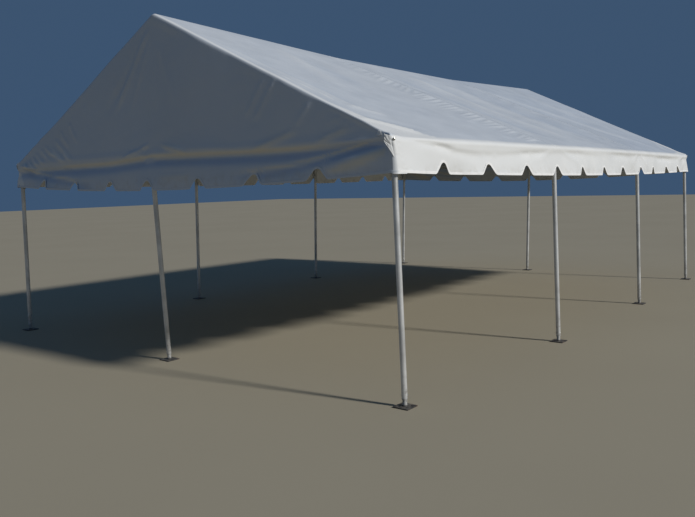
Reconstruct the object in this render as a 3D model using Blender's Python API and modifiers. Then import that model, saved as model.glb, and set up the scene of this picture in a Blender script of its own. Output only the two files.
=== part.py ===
"""Marquee tent: a white gable-end frame tent on ten pipe legs.

Units are metres, +Z is up and the ground is at zero. +X runs along the ridge, and the origin is
on the ground under the middle of the tent. The front gable is at -X, the right side at -Y.

The frame is slip-fit pipework. Every pipe is a hollow tube that slides over the spigots of welded
fittings, every leg stands on the stub of a foot plate, and the canopy is welded from six sheets:
two roof slopes, two side valances and two gables, with a scalloped hem all round.
"""
import math

import bmesh
import bpy
from mathutils import Quaternion, Vector

# Overall size, measured outside the pipes
LENGTH = 9.144
WIDTH = 6.096
BAYS = 3

# Height of the eave's centre line over the ground, and of the ridge's over the eave's
EAVE_HEIGHT = 2.22
ROOF_RISE = 1.46

# How the frame has settled: the inner rafter pairs and the gables' middles have moved out, the
# side legs' feet stand further out than their heads, and the middle legs' feet further in
RIDGE_DROP = 0.10
EAVE_BOW = 0.09
GABLE_BOW = 0.14
SIDE_SPLAY = 0.07
GABLE_INSET = 0.10

# Pipes
PIPE_RADIUS = 0.0254
PIPE_WALL = 0.0032
PIPE_SIDES = 12

# Fittings: a ball, arms from inside it to the pipe's end, and spigots that go on inside the pipe
HUB_OVERSIZE = 0.0002
HUB_SPLIT_STEPS = 2
HUB_CLEARANCE = 0.02
ARM_RADIUS = 0.024
ARM_START = 0.003
ARM_ROLL = math.radians(6.5)
KING_POST_RADIUS = 0.0235
SPIGOT_LENGTH = 0.12
SLIP_CLEARANCE = 0.0003
SEAT_GAP = 0.0003

# Feet: a square plate, a stub and the collar that the leg stands on
PLATE_SIDE = 0.152
PLATE_THICKNESS = 0.0095
STUB_RADIUS = 0.020
STUB_INSIDE_LEG = 0.10
COLLAR_HEIGHT = 0.008
LEG_START = 0.075

# Canopy sheets
SHEET_THICKNESS = 0.003
FABRIC_GAP = 0.0005
CURTAIN_STANDOFF = 0.012
SEAM_GAP = 0.0003
VALANCE_DROP = 0.27
ROOF_SAG = 0.03
ROOF_FLAT_BAND = 0.05
ROOF_STEPS_PER_BAY = 4
ROOF_STEPS_UP = 6

# Scalloped hem, which sags between the corners
SIDE_HEM_SAG = 0.045
GABLE_HEM_SAG = 0.093
LOBES_PER_BAY = 4
NOTCH_WIDTH = 0.28
NOTCH_DEPTH = 0.10
NOTCH_RADIUS = 0.04
NOTCH_STEPS_A_SIDE = 2

# Colours, roughness and metallic values of the four materials
VINYL = ("vinyl", (0.86, 0.87, 0.88, 1.0), 0.45, 0.0)
PIPE = ("pipe", (0.62, 0.63, 0.64, 1.0), 0.38, 0.9)
FITTING = ("fitting", (0.50, 0.51, 0.52, 1.0), 0.5, 0.8)
FOOT = ("foot", (0.16, 0.15, 0.14, 1.0), 0.65, 0.5)

# Worked out from the sizes above
HALF_LENGTH = LENGTH / 2 - PIPE_RADIUS
HALF_WIDTH = WIDTH / 2 - PIPE_RADIUS
BAY = 2 * HALF_LENGTH / BAYS
GABLE_BAYS = 2
CURTAIN_OFFSET = PIPE_RADIUS + CURTAIN_STANDOFF
HEM_HEIGHT = EAVE_HEIGHT - VALANCE_DROP
SPIGOT_RADIUS = (PIPE_RADIUS - PIPE_WALL) * math.cos(math.pi / PIPE_SIDES) - SLIP_CLEARANCE
RIGHT, LEFT = -1, 1
FRONT, REAR = -1, 1
SIDES = (("right", RIGHT), ("left", LEFT))
ENDS = (("front", FRONT, 0), ("rear", REAR, BAYS))
UP = Vector((0, 0, 1))
SAME_POINT = 1e-6


def clear_scene():
    """Remove every object, so that the model starts from nothing."""
    for old in list(bpy.data.objects):
        bpy.data.objects.remove(old, do_unlink=True)


def new_collection(name):
    """Return a new collection linked to the scene."""
    collection = bpy.data.collections.new(name)
    bpy.context.scene.collection.children.link(collection)
    return collection


def make_material(name, finish):
    """Return a Principled material with the colour, roughness and metallic value of a finish."""
    _, colour, roughness, metallic = finish
    material = bpy.data.materials.new(name)
    material.use_nodes = True
    shader = material.node_tree.nodes["Principled BSDF"]
    shader.inputs["Base Color"].default_value = colour
    shader.inputs["Roughness"].default_value = roughness
    shader.inputs["Metallic"].default_value = metallic
    material.diffuse_color = colour
    return material


def add_object(name, mesh, collection, finish=None):
    """Link a mesh as a named object, with a material of its own where it has a finish."""
    item = bpy.data.objects.new(name, mesh)
    collection.objects.link(item)
    if finish:
        mesh.materials.append(make_material(name + "_" + finish[0], finish))
    return item


def add_cutter(name, mesh):
    """Link a mesh that is only joined into another object and isn't a piece by itself."""
    item = add_object(name, mesh, cutters)
    item.hide_render = True
    item.display_type = "WIRE"
    return item


def point_along(item, origin, direction, roll=0):
    """Put an object's origin at a point, turn its local +Z to a direction and roll it about that."""
    item.location = origin
    item.rotation_mode = "QUATERNION"
    item.rotation_quaternion = direction.to_track_quat("Z", "Y") @ Quaternion((0, 0, 1), roll)


def union(item, other):
    """Join another closed object into this one with a Boolean modifier."""
    modifier = item.modifiers.new(other.name, "BOOLEAN")
    modifier.operation = "UNION"
    modifier.solver = "EXACT"
    modifier.object = other


def turn_profile(item):
    """Turn an object's profile, drawn at +X, about its local Z axis."""
    modifier = item.modifiers.new("turn", "SCREW")
    modifier.axis = "Z"
    modifier.steps = PIPE_SIDES
    modifier.render_steps = PIPE_SIDES
    modifier.use_merge_vertices = True
    modifier.merge_threshold = 0.0001


def profile_mesh(name, points):
    """Return a mesh of edges through (radius, height) points, listed down the outer side."""
    mesh = bpy.data.meshes.new(name)
    edges = [(i, i + 1) for i in range(len(points) - 1)]
    mesh.from_pydata([(radius, 0, height) for radius, height in points], edges, [])
    return mesh


def inner(station):
    """Say whether a station along the tent is between the two gables."""
    return 0 < station < BAYS


def station_x(station):
    """Return how far along the tent a rafter pair stands."""
    return -HALF_LENGTH + station * BAY


def eave_point(station, side):
    """Return the point where the pipes' centre lines meet at the eave."""
    bow = EAVE_BOW if inner(station) else 0
    return Vector((station_x(station), side * (HALF_WIDTH + bow), EAVE_HEIGHT))


def ridge_point(station):
    """Return the point where the pipes' centre lines meet at the ridge."""
    drop = RIDGE_DROP if inner(station) else 0
    return Vector((station_x(station), 0, EAVE_HEIGHT + ROOF_RISE - drop))


def gable_point(end):
    """Return the point where the middle leg meets the gable rails."""
    return Vector((end * (HALF_LENGTH + GABLE_BOW), 0, EAVE_HEIGHT))


def leg_rows():
    """List each leg as its name, its top point and the ground point that it leans to."""
    rows = []
    for word, side in SIDES:
        for station in range(BAYS + 1):
            top = eave_point(station, side)
            ground = Vector((top.x, top.y + side * SIDE_SPLAY, 0))
            rows.append((f"{word}_{station + 1}", top, ground))
    for word, end, _ in ENDS:
        top = gable_point(end)
        rows.append((f"{word}_middle", top, Vector((top.x - end * GABLE_INSET, 0, 0))))
    return rows


def pipe_rows():
    """List each pipe that runs from one fitting to another, as its name and two end points."""
    rows = []
    for word, side in SIDES:
        for bay in range(BAYS):
            ends = eave_point(bay, side), eave_point(bay + 1, side)
            rows.append((f"eave_rail_{word}_{bay + 1}", *ends))
        for station in range(BAYS + 1):
            ends = eave_point(station, side), ridge_point(station)
            rows.append((f"rafter_{word}_{station + 1}", *ends))
        for end_word, end, station in ENDS:
            ends = eave_point(station, side), gable_point(end)
            rows.append((f"gable_rail_{end_word}_{word}", *ends))
    for bay in range(BAYS):
        rows.append((f"ridge_pipe_{bay + 1}", ridge_point(bay), ridge_point(bay + 1)))
    return rows


def post_rows():
    """List the posts that carry the ridge's two ends, as their name, foot and head."""
    return [(f"king_post_{word}", gable_point(end), ridge_point(station)) for word, end, station in ENDS]


def arms_at(point):
    """Return the direction of every pipe, leg and post that meets at a point."""
    pairs = [(a, b) for _, a, b in leg_rows() + pipe_rows() + post_rows()]
    arms = [(b - a).normalized() for a, b in pairs if (a - point).length < SAME_POINT]
    arms += [(a - b).normalized() for a, b in pairs if (b - point).length < SAME_POINT]
    return arms


def reach(point, direction):
    """Return how far from a joint a pipe has to end, so that it clears its neighbours there."""
    others = [arm for arm in arms_at(point) if arm.angle(direction) > 0.01]
    closest = min(arm.angle(direction) for arm in others)
    return PIPE_RADIUS / math.tan(closest / 2) + HUB_CLEARANCE


def add_pipe(name, start, end, start_cut, end_cut):
    """Add a hollow pipe on the line between two points, cut short by a length at each end."""
    direction = (end - start).normalized()
    length = (end - start).length - start_cut - end_cut
    bm = bmesh.new()
    bmesh.ops.create_cone(bm, cap_ends=False, segments=PIPE_SIDES, radius1=PIPE_RADIUS,
                          radius2=PIPE_RADIUS, depth=length)
    mesh = bpy.data.meshes.new(name)
    bm.to_mesh(mesh)
    bm.free()
    mesh.shade_smooth()
    pipe = add_object(name, mesh, parts, PIPE)
    point_along(pipe, start + direction * (start_cut + length / 2), direction)
    wall = pipe.modifiers.new("wall", "SOLIDIFY")
    wall.thickness = PIPE_WALL
    wall.offset = -1
    return pipe


def add_sphere_mesh(name):
    """Return the ball that fills the middle of a fitting, a touch wider than the pipe."""
    bm = bmesh.new()
    bmesh.ops.create_icosphere(bm, subdivisions=HUB_SPLIT_STEPS,
                               radius=PIPE_RADIUS + HUB_OVERSIZE)
    mesh = bpy.data.meshes.new(name)
    bm.to_mesh(mesh)
    bm.free()
    return mesh


def add_arm(name, point, direction, number):
    """Add a fitting's arm: as wide as the pipe's seat up to its end, then a spigot inside it.

    Each arm of a fitting is rolled by a little more, so that no two have facets in one plane.
    """
    shoulder = reach(point, direction) - SEAT_GAP
    tip = shoulder + SPIGOT_LENGTH
    profile = [(0, tip), (SPIGOT_RADIUS, tip), (SPIGOT_RADIUS, shoulder), (ARM_RADIUS, shoulder),
               (ARM_RADIUS, ARM_START), (0, ARM_START)]
    arm = add_cutter(name, profile_mesh(name, profile))
    turn_profile(arm)
    point_along(arm, point, direction, number * ARM_ROLL)
    return arm


def add_fitting(name, point):
    """Add a welded fitting: a ball where the centre lines meet, and an arm into each pipe."""
    fitting = add_object(name, add_sphere_mesh(name), parts, FITTING)
    fitting.location = point
    for number, direction in enumerate(arms_at(point)):
        union(fitting, add_arm(f"{name}_arm_{number}", point, direction, number))
    return fitting


def add_king_post(name, foot, head):
    """Add a gable's king post, welded to the tee at its foot and the crown at its head."""
    post = add_object(name, add_sphere_mesh(name), parts, FITTING)
    post.location = foot
    crown = add_cutter(name + "_crown", add_sphere_mesh(name + "_crown"))
    crown.location = head
    height = (head - foot).length
    upwards = (head - foot).normalized()
    shaft_profile = [(0, height - ARM_START), (KING_POST_RADIUS, height - ARM_START),
                     (KING_POST_RADIUS, ARM_START), (0, ARM_START)]
    shaft = add_cutter(name + "_shaft", profile_mesh(name + "_shaft", shaft_profile))
    turn_profile(shaft)
    point_along(shaft, foot, upwards)
    union(post, shaft)
    union(post, crown)
    for point, along_post in ((foot, upwards), (head, -upwards)):
        arms = [arm for arm in arms_at(point) if arm.angle(along_post) > 0.01]
        for number, direction in enumerate(arms):
            level = "tee" if point is foot else "crown"
            union(post, add_arm(f"{name}_{level}_{number}", point, direction, number + 1))
    return post


def add_foot(name, ground, top):
    """Add a foot: a flat plate, and a stub that leans with the leg and has a collar under it."""
    bm = bmesh.new()
    bmesh.ops.create_cube(bm, size=1)
    bmesh.ops.scale(bm, vec=(PLATE_SIDE, PLATE_SIDE, PLATE_THICKNESS), verts=bm.verts)
    mesh = bpy.data.meshes.new(name)
    bm.to_mesh(mesh)
    bm.free()
    plate = add_object(name, mesh, parts, FOOT)
    plate.location = ground + UP * PLATE_THICKNESS / 2
    tip = LEG_START + STUB_INSIDE_LEG
    seat = LEG_START - SEAT_GAP
    below = seat - COLLAR_HEIGHT
    profile = [(0, tip), (STUB_RADIUS, tip), (STUB_RADIUS, seat), (PIPE_RADIUS, seat),
               (PIPE_RADIUS, below), (STUB_RADIUS, below), (STUB_RADIUS, PLATE_THICKNESS / 2),
               (0, PLATE_THICKNESS / 2)]
    stub = add_cutter(name + "_stub", profile_mesh(name + "_stub", profile))
    turn_profile(stub)
    point_along(stub, ground, (top - ground).normalized())
    union(plate, stub)
    return plate


def along(value_at, x):
    """Return a value that is known at the stations, at any distance along the tent between them."""
    place = min(max((x + HALF_LENGTH) / BAY, 0), BAYS)
    bay = min(int(place), BAYS - 1)
    share = place - bay
    return value_at(bay) * (1 - share) + value_at(bay + 1) * share


def eave_half_width(x):
    """Return how far out the eave pipe's centre line is at a distance along the tent."""
    return along(lambda station: eave_point(station, LEFT).y, x)


def ridge_height(x):
    """Return the height of the ridge pipe's centre line at a distance along the tent."""
    return along(lambda station: ridge_point(station).z, x)


def roof_underside(x, y):
    """Return the height of the roof's underside, which is tangent to the pipes and sags between."""
    half = eave_half_width(x)
    slope = (ridge_height(x) - EAVE_HEIGHT) / half
    lift = (PIPE_RADIUS + FABRIC_GAP) * math.hypot(1, slope)
    up = min(max((half - ROOF_FLAT_BAND - abs(y)) / (half - 2 * ROOF_FLAT_BAND), 0), 1)
    share = ((x + HALF_LENGTH) / BAY) % 1 if abs(x) < HALF_LENGTH else 0
    sag = ROOF_SAG * (4 * share * (1 - share)) * (4 * up * (1 - up)) ** 2
    return EAVE_HEIGHT + slope * (half - abs(y)) + lift - sag


def eave_edge(x):
    """Return how far out the roof sheet ends, flush with the valance's outer face."""
    return eave_half_width(x) + CURTAIN_OFFSET + SHEET_THICKNESS


def add_sheet(name, columns, rows, place):
    """Add a thin closed sheet: a grid of columns by rows, placed by a function, then thickened."""
    bm = bmesh.new()
    bmesh.ops.create_grid(bm, x_segments=len(columns) - 1, y_segments=len(rows) - 1, size=1)
    bm.verts.ensure_lookup_table()
    for index, vert in enumerate(bm.verts):
        row, column = divmod(index, len(columns))
        vert.co = place(columns[column], rows[row])
    mesh = bpy.data.meshes.new(name)
    bm.to_mesh(mesh)
    bm.free()
    sheet = add_object(name, mesh, parts, VINYL)
    cloth = sheet.modifiers.new("cloth", "SOLIDIFY")
    cloth.thickness = SHEET_THICKNESS
    cloth.offset = 1
    cloth.use_even_offset = True
    return sheet


def notch_profile():
    """Return one notch as (offset, rise) points: two straight flares, tangent to a round top."""
    centre_rise = NOTCH_DEPTH - NOTCH_RADIUS
    half = NOTCH_WIDTH / 2
    flare = math.atan2(centre_rise, half) + math.asin(NOTCH_RADIUS / math.hypot(half, centre_rise))
    steps = range(-NOTCH_STEPS_A_SIDE, NOTCH_STEPS_A_SIDE + 1)
    arc = [flare * step / NOTCH_STEPS_A_SIDE for step in steps]
    top = [(NOTCH_RADIUS * math.sin(a), centre_rise + NOTCH_RADIUS * math.cos(a)) for a in arc]
    return [(-half, 0.0)] + top + [(half, 0.0)]


def hem_outline(start, end, first_leg, pitch, lobes, sag):
    """Return the hem from one corner to the other as (distance, height) points.

    A notch stands at every pitch from the first corner leg, so there is one at each leg between.
    Between the corners the whole hem sags along a parabola.
    """
    points = [(start, 0.0)]
    for notch in range(1, lobes):
        centre = first_leg + notch * pitch
        points += [(centre + offset, rise) for offset, rise in notch_profile()]
    points.append((end, 0.0))
    return [(at, HEM_HEIGHT + rise - sag * (1 - (at / end) ** 2)) for at, rise in points]


def add_valance(name, turn):
    """Add a side's valance, which hangs from the eave and follows its bow; turn -1 is the left."""
    end = HALF_LENGTH + CURTAIN_OFFSET - SEAM_GAP
    lobes = BAYS * LOBES_PER_BAY
    hem = hem_outline(-end, end, -HALF_LENGTH, BAY / LOBES_PER_BAY, lobes, SIDE_HEM_SAG)

    def place(point, share):
        x, low = point
        high = roof_underside(x, eave_edge(x)) - SEAM_GAP
        out = eave_half_width(x) + CURTAIN_OFFSET
        return Vector((turn * x, -turn * out, low + share * (high - low)))

    return add_sheet(name, hem, (0, 1), place)


def gable_bulge(y, z):
    """Return how far a gable stands out: as its bowed rails do, down to nothing at the rafters."""
    rise = max(z - EAVE_HEIGHT, 0) / ROOF_RISE
    return GABLE_BOW * max(1 - abs(y) / HALF_WIDTH - rise, 0)


def add_gable(name, turn):
    """Add a gable sheet, from the scalloped hem up to the roof; turn -1 is the rear one."""
    end = eave_edge(HALF_LENGTH)
    lobes = GABLE_BAYS * LOBES_PER_BAY
    hem = hem_outline(-end, end, -HALF_WIDTH, 2 * HALF_WIDTH / lobes, lobes, GABLE_HEM_SAG)
    top_gap = SEAM_GAP + SHEET_THICKNESS * GABLE_BOW / ROOF_RISE

    def place(point, level):
        y, low = point
        z = (low, EAVE_HEIGHT, roof_underside(HALF_LENGTH, y) - top_gap)[level]
        out = HALF_LENGTH + CURTAIN_OFFSET + gable_bulge(y, z)
        return Vector((-turn * out, -turn * y, z))

    return add_sheet(name, hem, (0, 1, 2), place)


def add_roof(name, turn):
    """Add a roof slope, from the eave to the ridge and over both gables; turn -1 is the left."""
    end = HALF_LENGTH + CURTAIN_OFFSET + SHEET_THICKNESS
    steps = BAYS * ROOF_STEPS_PER_BAY
    columns = [-end] + [-HALF_LENGTH + step * 2 * HALF_LENGTH / steps for step in range(steps + 1)] + [end]
    shares = [step / ROOF_STEPS_UP for step in range(ROOF_STEPS_UP + 1)]

    def place(x, row):
        low, high = eave_half_width(x) - ROOF_FLAT_BAND, ROOF_FLAT_BAND
        lines = [eave_edge(x)] + [low + share * (high - low) for share in shares] + [SEAM_GAP / 2]
        return Vector((turn * x, -turn * lines[row], roof_underside(x, lines[row])))

    return add_sheet(name, columns, range(ROOF_STEPS_UP + 3), place)


def build_frame():
    """Add the legs, feet, pipes, fittings and king posts."""
    for name, top, ground in leg_rows():
        down = (ground - top).normalized()
        add_pipe("leg_" + name, top, ground, reach(top, down), LEG_START)
        add_foot("foot_" + name, ground, top)
    for name, start, end in pipe_rows():
        direction = (end - start).normalized()
        add_pipe(name, start, end, reach(start, direction), reach(end, -direction))
    for word, side in SIDES:
        for station in range(BAYS + 1):
            kind = "eave_tee" if inner(station) else "corner_fitting"
            add_fitting(f"{kind}_{word}_{station + 1}", eave_point(station, side))
    for station in range(1, BAYS):
        add_fitting(f"ridge_fitting_{station + 1}", ridge_point(station))
    for name, foot, head in post_rows():
        add_king_post(name, foot, head)


def build_canopy():
    """Add the six sheets that the canopy is welded from."""
    for word, turn in (("right", 1), ("left", -1)):
        add_roof("canopy_roof_" + word, turn)
        add_valance("canopy_valance_" + word, turn)
    for word, turn in (("front", 1), ("rear", -1)):
        add_gable("canopy_gable_" + word, turn)


clear_scene()
parts = new_collection("marquee_tent")
cutters = new_collection("cutters")
build_frame()
build_canopy()
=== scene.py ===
"""Looks of the marquee tent: a white vinyl top over a slip-fit pipe frame, dressed piece by piece.

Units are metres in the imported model's own frame. +X runs along the ridge towards the rear gable,
+Y towards the left side, +Z is up, and the tent stands on the ground at zero.
"""
from __future__ import annotations

import logging
import math
from dataclasses import dataclass, field
from enum import Enum
from typing import Callable, Iterable, Sequence

import bmesh
import bpy
import numpy as np
from mathutils import Matrix

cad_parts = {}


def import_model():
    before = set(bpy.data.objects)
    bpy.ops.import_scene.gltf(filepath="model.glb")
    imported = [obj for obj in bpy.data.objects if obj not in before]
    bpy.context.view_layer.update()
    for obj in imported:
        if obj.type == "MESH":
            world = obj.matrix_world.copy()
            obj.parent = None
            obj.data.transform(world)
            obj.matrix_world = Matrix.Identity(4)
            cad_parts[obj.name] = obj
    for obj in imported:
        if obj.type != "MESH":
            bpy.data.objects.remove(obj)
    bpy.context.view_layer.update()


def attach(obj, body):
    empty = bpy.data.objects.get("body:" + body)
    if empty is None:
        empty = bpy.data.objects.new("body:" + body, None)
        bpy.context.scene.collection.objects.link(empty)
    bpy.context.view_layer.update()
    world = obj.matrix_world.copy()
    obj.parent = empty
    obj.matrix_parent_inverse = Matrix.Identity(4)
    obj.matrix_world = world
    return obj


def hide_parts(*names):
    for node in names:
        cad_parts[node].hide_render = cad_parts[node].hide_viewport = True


LOG = logging.getLogger("marquee")
Array = np.ndarray
Socket = bpy.types.NodeSocket
Pair = tuple[float, float]
Triple = tuple[float, float, float]
Numbers = tuple[float, ...]
# Mark of weather stains together with painted light and shade: low is stained and shaded, high is
# unstained and lit.
CLEAN_AND_LIT_MARK = "clean"
# Mark of the painted light tint: warm light bounced up from the ground above 0, cool sky light
# below 0.
LIGHT_TINT_MARK = "dust"
SAME_POINT = 1e-6
WELD_DISTANCE = 1e-5


class Way(Enum):
    """A way to look along an axis, by its sign."""

    @property
    def word(self) -> str:
        """Return the name as the nodes spell it."""
        return self.name.lower()


class Side(Way):
    """The two long sides of the tent, by the sign of their Y."""

    RIGHT = -1
    LEFT = 1


class End(Way):
    """The two gable ends of the tent, by the sign of their X."""

    FRONT = -1
    REAR = 1


CORNERS = tuple((end, side) for end in End for side in Side)


class Slot(Enum):
    """The record's material slots."""

    VINYL = "vinyl"
    PIPE = "pipe"
    FITTING = "fitting"
    FOOT = "foot"


# Small vector tools

def spot(x: float, y: float, z: float) -> Array:
    """Return a point or direction as an array of three."""
    return np.array((x, y, z), dtype=float)


def unit(vectors: Array) -> Array:
    """Return vectors scaled to length one along their last axis."""
    return vectors / np.maximum(np.linalg.norm(vectors, axis=-1, keepdims=True), 1e-12)


def ease(share: Array | float) -> Array | float:
    """Return a soft step: 0 up to 0, 1 from 1, and 3t^2 - 2t^3 between."""
    t = np.clip(share, 0.0, 1.0)
    return t * t * (3.0 - 2.0 * t)


def across(direction: Array) -> tuple[Array, Array]:
    """Return two unit vectors square to a direction and to each other.

    Args:
        direction: unit vector.

    Returns:
        The pair u, v, with u x v along the direction.
    """
    helper = spot(0, 0, 1) if abs(direction[2]) < 0.9 else spot(1, 0, 0)
    u = unit(np.cross(helper, direction))
    return u, np.cross(direction, u)


def square_to(direction: Array, along: Array) -> Array:
    """Return a direction's part that is square to a unit vector, scaled to length one."""
    return unit(direction - (direction @ along) * along)


# Mesh making

class Shell:
    """Grids of points, gathered and welded into one mesh."""

    def __init__(self) -> None:
        """Start with nothing."""
        self._points: list[Array] = []
        self._uvs: list[Array] = []
        self._quads: list[Array] = []
        self._triangles: list[Array] = []
        self._count = 0

    def add_grid(self, points: Array, uvs: Array | None = None, keep: Array | None = None) -> None:
        """Add a grid of quads.

        Args:
            points: rows x columns x 3.
            uvs: rows x columns x 2 in metres, or None for zeros.
            keep: (rows - 1) x (columns - 1) of booleans, to leave quads out.
        """
        rows, columns = points.shape[:2]
        corner = np.arange(rows * columns).reshape(rows, columns)
        quads = np.stack((corner[:-1, :-1], corner[:-1, 1:], corner[1:, 1:], corner[1:, :-1]), -1)
        quads = quads.reshape(-1, 4) if keep is None else quads[keep]
        flat_uvs = np.zeros((rows * columns, 2)) if uvs is None else uvs.reshape(-1, 2)
        self.add_faces(points.reshape(-1, 3), flat_uvs, quads, np.zeros((0, 3), dtype=int))

    def add_grids(self, grids: Iterable[Array]) -> None:
        """Add grids of quads that need no uvs."""
        for grid in grids:
            self.add_grid(grid)

    def add_faces(self, points: Array, uvs: Array, quads: Array, triangles: Array) -> None:
        """Add loose faces: points n x 3, uvs n x 2, quads m x 4 and triangles k x 3 of indices."""
        self._points.append(points)
        self._uvs.append(uvs)
        self._quads.append(quads + self._count)
        self._triangles.append(triangles + self._count)
        self._count += len(points)

    def move(self, place: Callable[[Array], Array]) -> None:
        """Carry all points through one function of n x 3 points."""
        moved = place(np.concatenate(self._points))
        self._points = [moved]

    def mesh(self, name: str, closed: bool = True) -> bpy.types.Mesh:
        """Return the mesh, its doubles merged.

        Args:
            name: the mesh's name.
            closed: turn all normals the same way, outwards where the shells are closed.

        Returns:
            The new mesh with a UV map in metres.
        """
        quads = np.concatenate(self._quads)
        triangles = np.concatenate(self._triangles)
        corners = np.concatenate((quads.ravel(), triangles.ravel()))
        used, place = np.unique(corners, return_inverse=True)
        quads, triangles = place[:quads.size].reshape(-1, 4), place[quads.size:].reshape(-1, 3)
        mesh = bpy.data.meshes.new(name)
        points = np.concatenate(self._points)[used]
        mesh.from_pydata(points.tolist(), [], quads.tolist() + triangles.tolist())
        layer = mesh.uv_layers.new(name="UVMap")
        uvs = np.concatenate(self._uvs)[corners]
        layer.data.foreach_set("uv", uvs.astype(np.float32).ravel())
        work = bmesh.new()
        work.from_mesh(mesh)
        bmesh.ops.remove_doubles(work, verts=work.verts, dist=WELD_DISTANCE)
        if closed:
            bmesh.ops.recalc_face_normals(work, faces=work.faces)
        work.to_mesh(mesh)
        work.free()
        return mesh


def lathe(profile: Sequence[Pair], origin: Array, axis: Array, sides: int = 32,
          ripple: float = 0.0, ripples: int = 0) -> Array:
    """Turn a profile about an axis.

    Formula: point = origin + (r + ripple * cos(ripples * a)) * (u cos a + v sin a) + h * axis.

    Args:
        profile: (radius, height) pairs; a closed outline repeats its first pair at the end.
        origin: the point at height zero.
        axis: unit direction of the heights.
        sides: facets around.
        ripple: height of the waves around, as of a weld bead.
        ripples: how many waves around.

    Returns:
        A grid of profile points x (sides + 1) x 3.
    """
    u, v = across(axis)
    angle = np.linspace(0, 2 * math.pi, sides + 1)
    rim = np.cos(angle)[:, None] * u + np.sin(angle)[:, None] * v
    radius, height = np.array(profile, dtype=float).T
    wave = np.where(radius > SAME_POINT, 1.0, 0.0)[:, None] * ripple * np.cos(ripples * angle)
    return (origin + (radius[:, None] + wave)[..., None] * rim[None]
            + height[:, None, None] * axis)


def sweep(path: Array, up: Array, outline: Array, closed: bool = False) -> tuple[Array, Array]:
    """Carry a closed outline along a path.

    Formula: point = path + n * along the part of up that is square to the path, + b * along their
    cross product. An open sweep ends in a flat fan at each end.

    Args:
        path: n x 3 points.
        up: n x 3, or one vector, that the outline's first axis follows.
        outline: m x 2 of (n, b) in metres, without a repeat of the first.
        closed: the path runs back to its first point, which isn't repeated.

    Returns:
        The grid of points and its uvs, along and around in metres.
    """
    ahead = np.roll(path, -1, axis=0) - path if closed else np.gradient(path, axis=0)
    if closed:
        ahead = ahead + (path - np.roll(path, 1, axis=0))
    ahead = unit(ahead)
    up = np.broadcast_to(up, path.shape)
    normal = unit(up - np.sum(up * ahead, axis=1, keepdims=True) * ahead)
    side = np.cross(ahead, normal)
    ring = np.concatenate((outline, outline[:1]))
    grid = path[:, None] + normal[:, None] * ring[None, :, :1] + side[:, None] * ring[None, :, 1:]
    steps = np.linalg.norm(np.diff(path, axis=0), axis=1)
    run = np.concatenate(([0.0], np.cumsum(steps)))
    turn = np.concatenate(([0.0], np.cumsum(np.linalg.norm(np.diff(ring, axis=0), axis=1))))
    uvs = np.stack(np.broadcast_arrays(run[:, None], turn[None]), -1)
    if closed:
        last = np.linalg.norm(path[0] - path[-1])
        grid = np.concatenate((grid, grid[:1]))
        uvs = np.concatenate((uvs, uvs[-1:] + spot(last, 0, 0)[:2]))
    else:
        first = np.broadcast_to(grid[0].mean(axis=0), grid[:1].shape)
        end = np.broadcast_to(grid[-1].mean(axis=0), grid[:1].shape)
        grid = np.concatenate((first, grid, end))
        uvs = np.concatenate((uvs[:1], uvs, uvs[-1:]))
    return grid, uvs


def round_outline(radius: float, sides: int) -> Array:
    """Return a circle as a sweep's outline."""
    angle = np.arange(sides) * 2 * math.pi / sides
    return radius * np.stack((np.cos(angle), np.sin(angle)), -1)


def strap_outline(thick: float, wide: float) -> Array:
    """Return a flat band's outline, thick along the sweep's up and with nipped edges."""
    t, w, c = thick / 2, wide / 2, min(thick, wide) * 0.25
    half = [(t, -w + c), (t, w - c), (t - c, w), (-t + c, w)]
    return np.array(half + [(-n, -b) for n, b in half])


# Materials

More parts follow.
